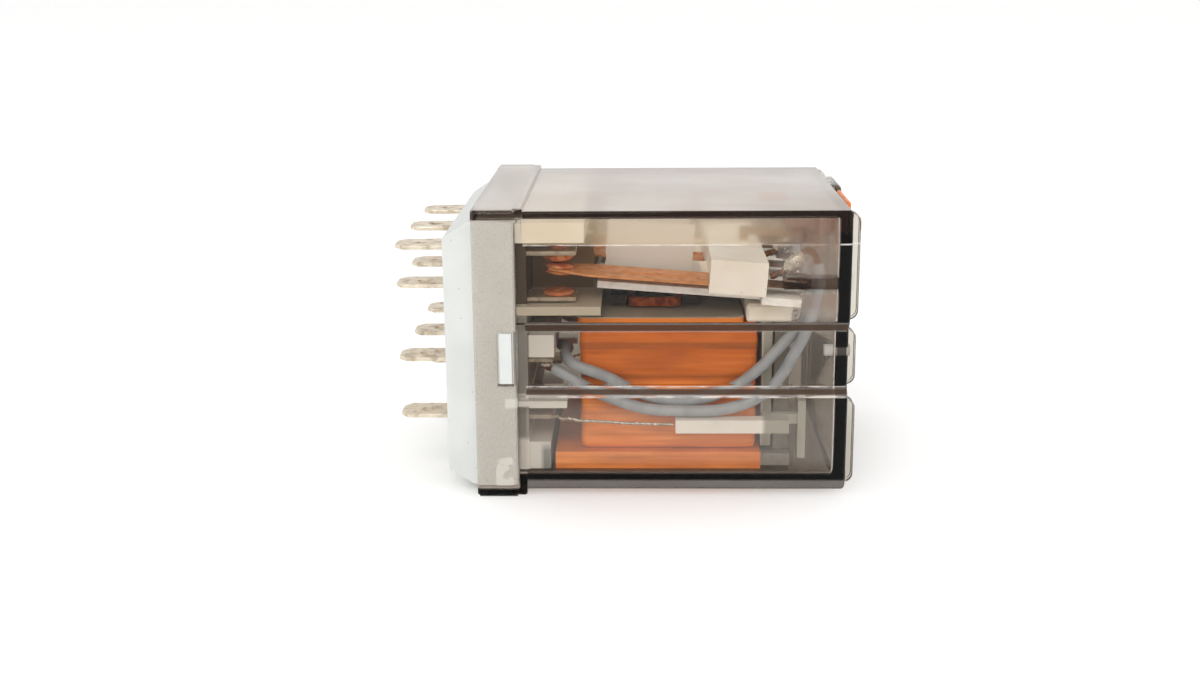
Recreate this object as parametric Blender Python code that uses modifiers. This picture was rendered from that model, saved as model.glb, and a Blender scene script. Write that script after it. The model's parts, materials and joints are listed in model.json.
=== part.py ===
"""Plug-in relay with a transparent cover: three changeover poles and an AC coil.

The relay lies on one side. X runs from the plug-in tabs to the far end of the cover, Y goes
through the three poles, and Z is up. The origin is the centre of the base's seating face, and
the tabs stand out of that face towards -X. The coil stands upright between the L-shaped yoke
and the armature, and the armature is hinged at the far end of the cover.
"""

import math

import bmesh
import bpy
from mathutils import Matrix, Vector

MM = 0.001  # every dimension below is in millimetres

# Case: the cover's main section, and the wider collar that grips the base
CASE_END = 49.9
CASE_HALF_Y = 19.3
CASE_HALF_Z = 17.75
WALL = 1.5
TOP_WALL = 1.0
RIM_X = 3.7
COLLAR_END = 9.9
COLLAR_HALF_Y = 20.2
COLLAR_TOP = 18.2
COLLAR_BOTTOM = -18.5
COLLAR_EDGE = 0.5
COLLAR_STEP_X = 9.0
COLLAR_CAVITY = ((-18.9, 18.9), (-17.5, 16.7))
CASE_CHAMFER = 0.6

# Sunken lane along both long sides, and the sloped band under the top edge
LANE_DEPTH = 0.9
LANE_TOP = 3.7
LANE_BOTTOM = -5.6
LANE_SLOPE_TOP = 1.0
LANE_SLOPE_BOTTOM = 1.3
SLOPE_START_Z = 13.7
SLOPE_INSET = 0.45

# Lips that carry the long sides on past the end wall, and the boss beside the test button
LIP_END = 50.9
LIP_Y = (17.1, 18.6)
LIP_CORNER = 1.0
LIP_UPPER_Z = (4.1, 17.5)
LIP_MIDDLE_Z = (-4.4, 2.8)
LIP_LOWER_Z = (-17.0, -5.9)
BOSS_END = 51.5
BOSS_Y = (4.5, 15.0)
BOSS_Z = (11.4, 17.1)

# Base plate and the skirt inside the collar
PLATE_TOP = 14.4
PLATE_BOTTOM = -15.2
PLATE_BEVEL_X = 3.1
PLATE_BEVEL_Z = 2.0
BASE_HALF_Y = 18.6
SKIRT_END = 8.6
SKIRT_WALL = 1.6
LATCH_X = (6.8, 8.35)
LATCH_Z = (-3.65, 2.75)
LATCH_REACH = 20.0

# Tabs, laid out on three rows
ROW_PITCH = 13.2
ROWS = (-ROW_PITCH, 0.0, ROW_PITCH)
TAB_REACH = 6.4
TAB_WIDTH = 4.8
TAB_THICKNESS = 0.5
TAB_TIP_CHAMFER = 1.2
TAB_HOLE_RADIUS = 0.7
TAB_HOLE_X = -3.2
JOGGLE_X = (4.4, 6.2)
NC_TAB_Z = 12.7
NC_STRIP_Z = 12.0
NO_TAB_Z = 7.8
NO_STRIP_Z = 6.2
COM_TAB_Z = -1.65
COIL_TAB_Z = -9.1
CONTACT_STRIP_END = 16.2
COM_STRIP_END = 13.2
COIL_STRIP_END = 12.9
SLOT_GAP = 0.15

# Contacts
CONTACT_X = 13.9
CONTACT_RADIUS = 1.65
SHANK_RADIUS = 0.75
SHANK_GAP = 0.1
FACE_GAP = 0.05
NC_FACE_Z = 10.6
NO_FACE_Z = 7.25
RIVET_HEAD_RADIUS = 1.1
RIVET_HEAD_HEIGHT = 0.4
MOVING_HALF_HEIGHT = 0.8
TURN_STEPS = 16

# Insulating block behind the base, which carries the contact strips
BLOCK_WALL_X = (8.9, 10.1)
BLOCK_HALF_Y = 16.5
RIB_HALF_Y = 17.5
TOP_RIB_HALF_Y = 16.9
TOP_RIB = ((8.9, 17.3), (13.5, 16.0))
SHELF_RIB = ((8.9, 19.3), (4.6, 5.7))
COM_RIB = ((8.9, 13.4), (-1.1, 1.8))
COIL_RIB = ((8.9, 15.0), (-7.4, -6.5))
COIL_RIB_Y = (14.8, 17.5)
FOOT_RIB = ((8.9, 12.8), (-15.9, -12.2))
BARRIER_X = (10.0, 18.2)
BARRIER_Y = (6.2, 7.0)
BARRIER_Z = (5.6, 13.6)
HEAD_PIT_DEPTH = 0.6
HEAD_PIT_RADIUS = 1.5

# Armature, in its own frame: its axis is the origin, and it lies flat when fully closed
HINGE_X = 42.0
HINGE_Z = 5.35
OPEN_ANGLE = math.radians(4.4)
PLATE_X = (-23.3, -2.6)
PLATE_HALF_Y = 14.0
PLATE_Z = (0.2, 1.1)
TAIL_X = (-2.9, 2.0)
TAIL_HALF_Y = 16.5
TAIL_Z = (0.1, 1.1)
STOP_PAD_X = (-22.2, -17.5)
STOP_PAD_HALF_Y = 9.0
STOP_PAD_Z = (-0.65, 0.4)
HOOK_Y = (5.6, 7.4)
HOOK_REACH = 4.0

# Contact springs, carried by the armature, in its frame
SPRING_Z = 2.2
SPRING_THICKNESS = 0.3
SPRING_TIP_X = -29.6
SPRING_TIP_HALF_Y = 1.1
SPRING_WIDE_X = -24.5
SPRING_HALF_Y = 3.4
SPRING_NECK_X = -2.2
SPRING_NECK_HALF_Y = 1.7
SPRING_END_X = 3.1
LUG_Z = 3.4
LUG_START_X = 0.0

# Contact carrier, in the armature's frame
CARRIER_X = (-9.55, -2.5)
CARRIER_HALF_Y = 17.3
CARRIER_Z = (1.25, 5.5)
WING_X = (-22.6, -11.45)
WING_Y = (7.9, 8.9)
WING_TOP = 8.3
WING_BRIDGE_TOP = 3.4
CARRIER_SLOT_HALF_Y = 3.55
CARRIER_SLOT_HALF_Z = 0.3
ARM_X = (-5.5, 2.6)
ARM_Y = (-5.55, -4.65)
ARM_Z = (6.9, 7.9)
ARM_WIDTH = 1.2
FINGER_TOP = 9.8

# Solder joints on the springs' lugs
SOLDER_CENTRE = (43.5, 10.4)
SOLDER_HALF_LENGTH = 1.7
SOLDER_RADIUS = 0.85
SOLDER_TILT = math.radians(48.0)

# Magnet: yoke, core and shading ring
YOKE_X = (13.7, 43.2)
YOKE_HALF_Y = 14.9
YOKE_Z = (-15.85, -14.25)
LIMB_X = (41.2, 43.2)
LIMB_HALF_Y = 12.6
LIMB_TOP = 2.5
YOKE_HOOK_Z = (-8.0, -7.2)
YOKE_HOOK_END = 46.0
SLEEVE_X = (13.3, 39.5)
SLEEVE_GAP = 0.1
SLEEVE_WALL = 0.25
CORE_X = 28.0
CORE_RADIUS = 4.5
CORE_NECK_RADIUS = 3.0
CORE_SHOULDER_Z = -13.8
POLE_X = (20.4, 32.0)
POLE_HALF_Y = 8.2
POLE_Z = (3.8, 5.0)
RING_X = (22.5, 29.6)
RING_Y = (-9.4, -2.2)
RING_Z = (3.85, 5.0)
RING_WIDTH = 0.9
RING_GAP = 0.12

# Coil
BOBBIN_TOP_X = (16.3, 37.2)
BOBBIN_TOP_HALF_Y = 14.2
BOBBIN_TOP_Z = (2.5, 3.6)
BOBBIN_FOOT_X = (17.1, 38.4)
BOBBIN_FOOT_HALF_Y = 13.4
BOBBIN_FOOT_Z = (-13.7, -12.9)
BARREL_BORE = 4.7
BARREL_RADIUS = 5.8
COIL_X = (16.5, 39.0)
COIL_HALF_Y = 14.0
COIL_CORNER = 2.0
TAPE_THICKNESS = 0.3
TAPE_Z = (-13.75, 2.4)
WINDING_Z = (-12.75, 2.3)

# Insulator between the coil and the yoke's upright limb, with its lead holders
INSULATOR_X = (39.6, 40.9)
INSULATOR_HALF_Y = 13.2
INSULATOR_Z = (-13.75, 2.4)
HOLDER_X = (28.6, 42.8)
HOLDER_Y = (15.6, 17.5)
HOLDER_Z = (-10.7, -9.0)
FIN_X = (44.2, 45.2)
FIN_Y = (11.6, 14.4)
FIN_Z = (-15.0, -7.4)

# Bearing block under the armature's hinge
BEARING_X = (37.5, 43.3)
BEARING_HALF_Y = 13.9
BEARING_Z = (2.75, 5.15)

# Return spring
RETURN_X = 45.0
RETURN_Y = 6.5
RETURN_Z = (-6.6, 4.8)
RETURN_RADIUS = 1.1
RETURN_WIRE = 0.2
RETURN_TURNS = 9
RETURN_STEPS = 10

# Test button. The window in its stem holds the carrier's finger
BUTTON_X = (50.5, 51.2)
BUTTON_Y = (-7.4, 2.6)
BUTTON_Z = (12.6, 16.9)
BUTTON_EDGE = 0.3
BUTTON_GAP = 0.3
NECK_X = (46.2, 50.6)
NECK_Y = (-6.8, 2.0)
NECK_Z = (13.0, 15.6)
FLANGE_X = (47.0, 47.8)
FLANGE_Y = (-7.8, 3.0)
FLANGE_Z = (12.4, 16.2)
STEM_X = (43.2, 46.6)
STEM_Y = (-6.6, -3.6)
STEM_Z = (13.7, 15.2)
STEM_WINDOW_X = (43.7, 45.7)
STEM_WINDOW_Y = (-5.85, -4.35)

# Vent plug in the end wall
PLUG_X = (47.2, 50.5)
PLUG_Y = -14.6
PLUG_Z = -0.6
PLUG_RADIUS = 0.75

# Flexible leads. Each route's points are (x, y, z)
PIGTAIL_RADIUS = 0.7
PIGTAIL_SPACING = 1.7
OUTER_ROUTE = (
    (12.2, -14.4, -2.75),
    (13.8, -14.7, -3.3),
    (17.4, -15.3, -5.3),
    (21.2, -15.7, -6.9),
    (25.0, -16.05, -7.9),
    (29.2, -16.15, -8.15),
    (33.5, -16.15, -8.1),
    (37.2, -16.05, -7.3),
    (39.9, -15.8, -5.9),
    (41.8, -15.5, -3.8),
    (43.3, -15.2, -1.3),
    (44.6, -14.9, 1.2),
    (45.6, -14.4, 3.6),
    (46.2, -13.9, 6.2),
    (46.4, -13.7, 8.8),
    (46.0, -13.5, 11.4),
    (45.0, -13.5, 12.5),
)
MIDDLE_ROUTE = (
    (12.2, -1.4, -2.75),
    (13.8, -2.6, -3.1),
    (14.6, -5.6, -2.6),
    (14.7, -9.0, -1.7),
    (14.7, -12.2, -1.9),
    (16.0, -14.75, -2.5),
    (19.8, -15.05, -3.9),
    (24.2, -15.0, -6.2),
    (28.5, -15.0, -7.2),
    (32.4, -15.0, -6.8),
    (36.2, -15.0, -5.2),
    (39.2, -14.85, -2.9),
    (41.0, -14.6, -1.0),
    (42.6, -14.1, 0.6),
    (44.4, -12.8, 1.8),
    (45.4, -9.9, 2.9),
    (45.9, -6.0, 4.2),
    (46.1, -2.4, 6.2),
    (46.3, -0.5, 9.0),
    (45.9, -0.2, 11.4),
    (45.0, -0.2, 12.5),
)
LEAD_RADIUS = 0.25
LEAD_SPACING = 1.5
LEAD_ROUTE = (
    (13.2, -14.6, -9.2),
    (16.0, -15.8, -9.45),
    (22.0, -16.4, -9.65),
    (28.3, -16.5, -9.85),
)

# Colour, roughness and metallic value of each finish
FINISHES = {
    "smoked_polycarbonate": ((0.30, 0.27, 0.25), 0.10, 0.0),
    "white_moulding": ((0.80, 0.81, 0.79), 0.45, 0.0),
    "cream_moulding": ((0.74, 0.69, 0.57), 0.50, 0.0),
    "tinned_brass": ((0.62, 0.55, 0.44), 0.35, 1.0),
    "silver_contact": ((0.78, 0.55, 0.42), 0.30, 1.0),
    "spring_copper": ((0.72, 0.38, 0.20), 0.35, 1.0),
    "solder": ((0.72, 0.72, 0.70), 0.30, 1.0),
    "grey_insulation": ((0.33, 0.35, 0.37), 0.50, 0.0),
    "plated_steel": ((0.66, 0.65, 0.62), 0.40, 1.0),
    "orange_tape": ((0.80, 0.26, 0.06), 0.45, 0.0),
    "copper": ((0.72, 0.30, 0.16), 0.35, 1.0),
    "tan_bobbin": ((0.55, 0.46, 0.34), 0.50, 0.0),
    "nylon": ((0.72, 0.73, 0.68), 0.40, 0.0),
    "orange_button": ((0.85, 0.36, 0.12), 0.40, 0.0),
}


def clear_scene():
    for obj in list(bpy.data.objects):
        bpy.data.objects.remove(obj, do_unlink=True)


def new_collection(name):
    collection = bpy.data.collections.new(name)
    bpy.context.scene.collection.children.link(collection)
    return collection


def make_finishes():
    finishes = {}
    for name, (colour, roughness, metallic) in FINISHES.items():
        material = bpy.data.materials.new(name)
        material.use_nodes = True
        shader = material.node_tree.nodes["Principled BSDF"]
        shader.inputs["Base Color"].default_value = (*colour, 1.0)
        shader.inputs["Roughness"].default_value = roughness
        shader.inputs["Metallic"].default_value = metallic
        finishes[name] = material
    return finishes


def add_object(name, data, finish=None):
    """An object for a finish goes with the parts. Without one it is a tool for a Boolean."""
    obj = bpy.data.objects.new(name, data)
    if finish:
        PARTS.objects.link(obj)
        data.materials.append(FINISH[finish])
    else:
        TOOLS.objects.link(obj)
        obj.hide_render = True
        obj.display_type = "WIRE"
    return obj


def box(name, x, y, z, finish=None):
    """A box between two limits on each axis, with its origin at its centre."""
    bm = bmesh.new()
    bmesh.ops.create_cube(bm, size=1.0)
    size = [(high - low) * MM for low, high in (x, y, z)]
    bmesh.ops.scale(bm, vec=size, verts=bm.verts)
    mesh = bpy.data.meshes.new(name)
    bm.to_mesh(mesh)
    bm.free()
    obj = add_object(name, mesh, finish)
    obj.location = [(low + high) / 2 * MM for low, high in (x, y, z)]
    return obj


# Where the plane of an outline, and the way it is extruded, point for each axis
AXIS_FRAMES = {
    "X": Matrix(((0, 0, 1), (1, 0, 0), (0, 1, 0))),
    "Y": Matrix(((1, 0, 0), (0, 0, 1), (0, 1, 0))),
    "Z": Matrix.Identity(3),
}


def prism(name, axis, outline, limits, finish=None, holes=()):
    """A flat outline extruded between two limits on an axis, made from a filled curve."""
    curve = bpy.data.curves.new(name, "CURVE")
    curve.dimensions = "2D"
    curve.fill_mode = "BOTH"
    curve.extrude = (limits[1] - limits[0]) / 2 * MM
    for loop in (outline, *holes):
        spline = curve.splines.new("POLY")
        spline.points.add(len(loop) - 1)
        for point, (u, v) in zip(spline.points, loop):
            point.co = (u * MM, v * MM, 0.0, 1.0)
        spline.use_cyclic_u = True
    source = bpy.data.objects.new(name, curve)
    TOOLS.objects.link(source)
    graph = bpy.context.evaluated_depsgraph_get()
    mesh = bpy.data.meshes.new_from_object(source.evaluated_get(graph))
    bpy.data.objects.remove(source)
    bpy.data.curves.remove(curve)
    frame = AXIS_FRAMES[axis]
    bm = bmesh.new()
    bm.from_mesh(mesh)
    bmesh.ops.remove_doubles(bm, verts=bm.verts, dist=0.0005 * MM)
    bmesh.ops.transform(bm, matrix=frame.to_4x4(), verts=bm.verts)
    bmesh.ops.recalc_face_normals(bm, faces=bm.faces)
    bm.to_mesh(mesh)
    bm.free()
    mesh.name = name
    obj = add_object(name, mesh, finish)
    obj.location = frame @ Vector((0, 0, (limits[0] + limits[1]) / 2 * MM))
    return obj


def rounded_rectangle(u, v, radius, steps=4):
    """A rectangle's outline with round corners, each an arc of the given steps."""
    points = []
    corners = ((u[1], v[1], 0), (u[0], v[1], 1), (u[0], v[0], 2), (u[1], v[0], 3))
    for corner_u, corner_v, quarter in corners:
        centre_u = corner_u - math.copysign(radius, corner_u - sum(u) / 2)
        centre_v = corner_v - math.copysign(radius, corner_v - sum(v) / 2)
        for step in range(steps + 1):
            angle = math.pi / 2 * (quarter + step / steps)
            points.append((centre_u + radius * math.cos(angle), centre_v + radius * math.sin(angle)))
    return points


def circle(u, v, radius, steps=24):
    angles = [2 * math.pi * step / steps for step in range(steps)]
    return [(u + radius * math.cos(a), v + radius * math.sin(a)) for a in angles]


def inset(limits, distance):
    """Limits on one axis moved inwards by a distance, or outwards by a negative one."""
    return (limits[0] + distance, limits[1] - distance)


def both_ways(half):
    return (-half, half)


def combine(target, operation, *tools):
    for tool in tools:
        modifier = target.modifiers.new(tool.name, "BOOLEAN")
        modifier.operation = operation
        modifier.solver = "EXACT"
        modifier.object = tool
        tool.parent = target.parent
    return target


def round_edges(obj, width, segments=2):
    modifier = obj.modifiers.new("edges", "BEVEL")
    modifier.width = width * MM
    modifier.segments = segments
    modifier.limit_method = "ANGLE"
    return obj


def turned(name, profile, location, finish, axis="Z"):
    """A turned solid from (radius, height) points that run down its outer side."""
    mesh = bpy.data.meshes.new(name)
    points = [(radius * MM, 0.0, height * MM) for radius, height in profile]
    mesh.from_pydata(points, [(i, i + 1) for i in range(len(points) - 1)], [])
    obj = add_object(name, mesh, finish)
    obj.location = [value * MM for value in location]
    if axis == "X":
        obj.rotation_euler = (0.0, math.pi / 2, 0.0)
    screw = obj.modifiers.new("turn", "SCREW")
    screw.steps = TURN_STEPS
    screw.render_steps = TURN_STEPS
    screw.use_merge_vertices = True
    screw.merge_threshold = 0.001 * MM
    screw.use_smooth_shade = True
    return obj


def cylinder(name, centre, radius, limits, axis="Z", finish=None, steps=24):
    """A straight cylinder between two limits on its axis."""
    return prism(name, axis, circle(*centre, radius, steps), limits, finish)


def smooth_route(points, spacing):
    """Evenly spread points on a smooth curve through the route's own points."""
    route = [Vector(p) for p in points]
    route = [2 * route[0] - route[1], *route, 2 * route[-1] - route[-2]]
    fine = []
    for before, start, end, after in zip(route, route[1:], route[2:], route[3:]):
        for step in range(24):
            t = step / 24
            fine.append(
                0.5
                * (
                    2 * start
                    + (end - before) * t
                    + (2 * before - 5 * start + 4 * end - after) * t * t
                    + (3 * start - before - 3 * end + after) * t * t * t
                )
            )
    fine.append(route[-2])
    lengths = [0.0]
    for start, end in zip(fine, fine[1:]):
        lengths.append(lengths[-1] + (end - start).length)
    count = max(2, round(lengths[-1] / spacing))
    even = []
    index = 0
    for step in range(count + 1):
        wanted = lengths[-1] * step / count
        while index < len(fine) - 2 and lengths[index + 1] < wanted:
            index += 1
        share = (wanted - lengths[index]) / (lengths[index + 1] - lengths[index])
        even.append(fine[index].lerp(fine[index + 1], min(share, 1.0)))
    return even


def wire(name, points, radius, finish, resolution=2):
    """A round wire along a list of points, with filled ends."""
    curve = bpy.data.curves.new(name, "CURVE")
    curve.dimensions = "3D"
    curve.bevel_depth = radius * MM
    curve.bevel_resolution = resolution
    curve.use_fill_caps = True
    spline = curve.splines.new("POLY")
    spline.points.add(len(points) - 1)
    for point, place in zip(spline.points, points):
        point.co = (*(Vector(place) * MM), 1.0)
    return add_object(name, curve, finish)


def mirror_y(points):
    return [(x, -y, z) for x, y, z in points]


def case_outline(half_y, bottom, top, lane_grow, chamfer):
    """Half of the case's section in Y and Z, mirrored, with a sunken lane on each side."""
    low = LANE_BOTTOM - lane_grow
    high = LANE_TOP + lane_grow
    side = [
        (half_y - chamfer, bottom),
        (half_y, bottom + chamfer),
        (half_y, low),
        (half_y - LANE_DEPTH, low + LANE_SLOPE_BOTTOM),
        (half_y - LANE_DEPTH, high - LANE_SLOPE_TOP),
        (half_y, high),
        (half_y, SLOPE_START_Z),
        (half_y - SLOPE_INSET, top - chamfer),
        (half_y - SLOPE_INSET - chamfer, top),
    ]
    return side + [(-y, z) for y, z in reversed(side)]


def make_cover():
    outer = case_outline(CASE_HALF_Y, -CASE_HALF_Z, CASE_HALF_Z, 0.0, CASE_CHAMFER)
    cover = prism("cover", "X", outer, (RIM_X, CASE_END), "smoked_polycarbonate")
    collar = box("collar", (RIM_X, COLLAR_END), both_ways(COLLAR_HALF_Y), (COLLAR_BOTTOM, COLLAR_TOP))
    round_edges(collar, COLLAR_EDGE, 1)
    combine(cover, "UNION", collar)
    lip_x = (CASE_END - WALL / 2, LIP_END)
    for name, limits, depth in (
        ("upper_lip", LIP_UPPER_Z, 0.0),
        ("middle_lip", LIP_MIDDLE_Z, LANE_DEPTH),
        ("lower_lip", LIP_LOWER_Z, 0.0),
    ):
        shape = rounded_rectangle(lip_x, limits, LIP_CORNER)
        near = LIP_Y[0] - depth
        far = LIP_Y[1] - depth
        front = prism(f"{name}_front", "Y", shape, (-far, -near))
        rear = prism(f"{name}_rear", "Y", shape, (near, far))
        combine(cover, "UNION", front, rear)
    boss_shape = rounded_rectangle(BOSS_Y, BOSS_Z, LIP_CORNER)
    combine(cover, "UNION", prism("boss", "X", boss_shape, (CASE_END - WALL / 2, BOSS_END)))
    inner = case_outline(CASE_HALF_Y - WALL, WALL - CASE_HALF_Z, CASE_HALF_Z - TOP_WALL, 0.85, 0.3)
    cavity = prism("cavity", "X", inner, (RIM_X - 1.0, CASE_END - WALL))
    collar_cavity = box("collar_cavity", (RIM_X - 1.0, COLLAR_STEP_X), *COLLAR_CAVITY)
    window = box("windows", inset(LATCH_X, -0.25), both_ways(COLLAR_HALF_Y + 1.0), inset(LATCH_Z, -0.25))
    through_end = (CASE_END - WALL - 1.0, BOSS_END + 1.0)
    button_slot = box("button_slot", through_end, inset(NECK_Y, -BUTTON_GAP), inset(NECK_Z, -BUTTON_GAP))
    vent = cylinder("vent", (PLUG_Y, PLUG_Z), PLUG_RADIUS + 0.15, through_end, "X", None, 16)
    combine(cover, "DIFFERENCE", cavity, collar_cavity, window, button_slot, vent)


def make_base():
    profile = [
        (0.0, PLATE_TOP),
        (0.0, PLATE_BOTTOM),
        (PLATE_BEVEL_X, PLATE_BOTTOM - PLATE_BEVEL_Z),
        (SKIRT_END, PLATE_BOTTOM - PLATE_BEVEL_Z),
        (SKIRT_END, PLATE_TOP + PLATE_BEVEL_Z),
        (PLATE_BEVEL_X, PLATE_TOP + PLATE_BEVEL_Z),
    ]
    base = prism("base", "Y", profile, both_ways(BASE_HALF_Y), "white_moulding")
    hollow_y = both_ways(BASE_HALF_Y - SKIRT_WALL)
    hollow_z = (PLATE_BOTTOM - PLATE_BEVEL_Z + SKIRT_WALL, PLATE_TOP + PLATE_BEVEL_Z - SKIRT_WALL)
    combine(base, "DIFFERENCE", box("skirt_hollow", (RIM_X, SKIRT_END + 1.0), hollow_y, hollow_z))
    for side, limits in (("front", (-LATCH_REACH, 1.0 - BASE_HALF_Y)), ("rear", (BASE_HALF_Y - 1.0, LATCH_REACH))):
        combine(base, "UNION", box(f"{side}_latch", LATCH_X, limits, LATCH_Z))
    for number, y in enumerate(ROWS, 1):
        for kind, z in (("nc", NC_TAB_Z), ("no", NO_TAB_Z), ("com", COM_TAB_Z), ("coil", COIL_TAB_Z)):
            if kind == "coil" and y == 0.0:
                continue
            cut_tab_slot(base, f"{kind}_slot_{number}", (-1.0, RIM_X + 1.0), y, z)


def cut_tab_slot(target, name, x, y, z):
    half_y = TAB_WIDTH / 2 + SLOT_GAP
    half_z = TAB_THICKNESS / 2 + SLOT_GAP
    combine(target, "DIFFERENCE", box(name, x, (y - half_y, y + half_y), (z - half_z, z + half_z)))


def make_contact_block():
    block = box("contact_block", BLOCK_WALL_X, both_ways(BLOCK_HALF_Y), (FOOT_RIB[1][0], TOP_RIB[1][1]), "cream_moulding")
    top_rib = box("top_rib", TOP_RIB[0], both_ways(TOP_RIB_HALF_Y), TOP_RIB[1])
    shelf_rib = box("shelf_rib", SHELF_RIB[0], both_ways(RIB_HALF_Y), SHELF_RIB[1])
    com_rib = box("com_rib", COM_RIB[0], both_ways(BLOCK_HALF_Y - 0.2), COM_RIB[1])
    foot_rib = box("foot_rib", FOOT_RIB[0], both_ways(BLOCK_HALF_Y - 0.2), (FOOT_RIB[1][0] + 0.1, FOOT_RIB[1][1]))
    combine(block, "UNION", top_rib, shelf_rib, com_rib, foot_rib)
    for side, limits in (("front", (-BARRIER_Y[1], -BARRIER_Y[0])), ("rear", BARRIER_Y)):
        combine(block, "UNION", box(f"{side}_barrier", BARRIER_X, limits, BARRIER_Z))
    for side, sign in (("front", -1), ("rear", 1)):
        limits = sorted((sign * COIL_RIB_Y[0], sign * COIL_RIB_Y[1]))
        combine(block, "UNION", box(f"{side}_coil_rib", COIL_RIB[0], limits, COIL_RIB[1]))
    for number, y in enumerate(ROWS, 1):
        pit_z = (SHELF_RIB[1][1] - HEAD_PIT_DEPTH, SHELF_RIB[1][1] + 1.0)
        pit = cylinder(f"head_pit_{number}", (CONTACT_X, y), HEAD_PIT_RADIUS, pit_z, "Z", None, 12)
        combine(block, "DIFFERENCE", pit)
        for kind, z in (("nc", NC_STRIP_Z), ("no", NO_STRIP_Z), ("com", COM_TAB_Z), ("coil", COIL_TAB_Z)):
            if kind == "coil" and y == 0.0:
                continue
            cut_tab_slot(block, f"{kind}_strip_slot_{number}", inset(COM_RIB[0], -1.0), y, z)


def make_terminal(name, y, tab_z, strip_z, end_x, contact_hole=False):
    """A flat tab that steps to another height inside the base and ends as a strip."""
    half = TAB_THICKNESS / 2
    top = [
        (-TAB_REACH, tab_z + half),
        (JOGGLE_X[0], tab_z + half),
        (JOGGLE_X[1], strip_z + half),
        (end_x, strip_z + half),
    ]
    bottom = [(x, z - TAB_THICKNESS) for x, z in reversed(top)]
    if tab_z == strip_z:
        top = [top[0], top[-1]]
        bottom = [bottom[0], bottom[-1]]
    width = (y - TAB_WIDTH / 2, y + TAB_WIDTH / 2)
    terminal = prism(name, "Y", top + bottom, width, "tinned_brass")
    tip_u = (-TAB_REACH - 1.0, TAB_HOLE_X)
    corner = TAB_TIP_CHAMFER
    tip_outline = [
        (-TAB_REACH, width[0] + corner),
        (-TAB_REACH, width[1] - corner),
        (-TAB_REACH + corner * 0.8, width[1]),
        (-TAB_REACH + corner * 0.8, width[1] + 1.0),
        (tip_u[0], width[1] + 1.0),
        (tip_u[0], width[0] - 1.0),
        (-TAB_REACH + corner * 0.8, width[0] - 1.0),
        (-TAB_REACH + corner * 0.8, width[0]),
    ]
    trim = prism(f"{name}_trim", "Z", tip_outline, (tab_z - 2.0, tab_z + 2.0))
    limits = (tab_z - 1.0, tab_z + 1.0)
    hole = cylinder(f"{name}_hole", (TAB_HOLE_X, y), TAB_HOLE_RADIUS, limits, "Z", None, 12)
    combine(terminal, "DIFFERENCE", trim, hole)
    if contact_hole:
        limits = (strip_z - 1.0, strip_z + 1.0)
        bore = SHANK_RADIUS + SHANK_GAP
        combine(terminal, "DIFFERENCE", cylinder(f"{name}_bore", (CONTACT_X, y), bore, limits, "Z", None, 12))


def make_terminals():
    for number, y in enumerate(ROWS, 1):
        make_terminal(f"nc_terminal_{number}", y, NC_TAB_Z, NC_STRIP_Z, CONTACT_STRIP_END, True)
        make_terminal(f"no_terminal_{number}", y, NO_TAB_Z, NO_STRIP_Z, CONTACT_STRIP_END, True)
        make_terminal(f"com_terminal_{number}", y, COM_TAB_Z, COM_TAB_Z, COM_STRIP_END)
    for number, y in enumerate((ROWS[0], ROWS[2]), 1):
        make_terminal(f"coil_terminal_{number}", y, COIL_TAB_Z, COIL_TAB_Z, COIL_STRIP_END)


def dome_profile(radius, base, height, steps=3):
    """Points down a shallow dome, from its pole to its rim, where base is the rim's height."""
    return [
        (radius * math.sin(math.pi / 2 * i / steps), base + height * math.cos(math.pi / 2 * i / steps))
        for i in range(steps + 1)
    ]


def make_fixed_contacts():
    """Rivets through the fixed strips, each with a domed face towards the moving contact."""
    near = TAB_THICKNESS / 2 + FACE_GAP
    for kind, strip_z, face_z, facing in (("nc", NC_STRIP_Z, NC_FACE_Z, -1), ("no", NO_STRIP_Z, NO_FACE_Z, 1)):
        dome_height = abs(face_z - strip_z) - near
        rim = near + dome_height * 0.4
        profile = dome_profile(CONTACT_RADIUS, rim, dome_height * 0.6)
        profile += [
            (CONTACT_RADIUS, near),
            (SHANK_RADIUS, near),
            (SHANK_RADIUS, -near),
            (RIVET_HEAD_RADIUS, -near),
            (RIVET_HEAD_RADIUS * 0.8, -near - RIVET_HEAD_HEIGHT),
            (0.0, -near - RIVET_HEAD_HEIGHT),
        ]
        for number, y in enumerate(ROWS, 1):
            rivet = turned(f"{kind}_contact_{number}", profile, (CONTACT_X, y, strip_z), "silver_contact")
            if facing < 0:
                rivet.rotation_euler = (math.pi, 0.0, 0.0)


def make_pivot():
    """The hinge's axis. What rides on the armature is placed in this empty's frame."""
    pivot = bpy.data.objects.new("armature_pivot", None)
    PARTS.objects.link(pivot)
    pivot.location = (HINGE_X * MM, 0.0, HINGE_Z * MM)
    pivot.rotation_euler = (0.0, OPEN_ANGLE, 0.0)
    return pivot


def make_armature(pivot):
    armature = box("armature", PLATE_X, both_ways(PLATE_HALF_Y), PLATE_Z, "plated_steel")
    armature.parent = pivot
    tail = box("armature_tail", TAIL_X, both_ways(TAIL_HALF_Y), TAIL_Z)
    pad = box("stop_pad", STOP_PAD_X, both_ways(STOP_PAD_HALF_Y), STOP_PAD_Z)
    hook = box("armature_hook", (TAIL_X[1] - 0.5, HOOK_REACH), HOOK_Y, inset(TAIL_Z, 0.1))
    combine(armature, "UNION", tail, pad, hook)


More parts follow.
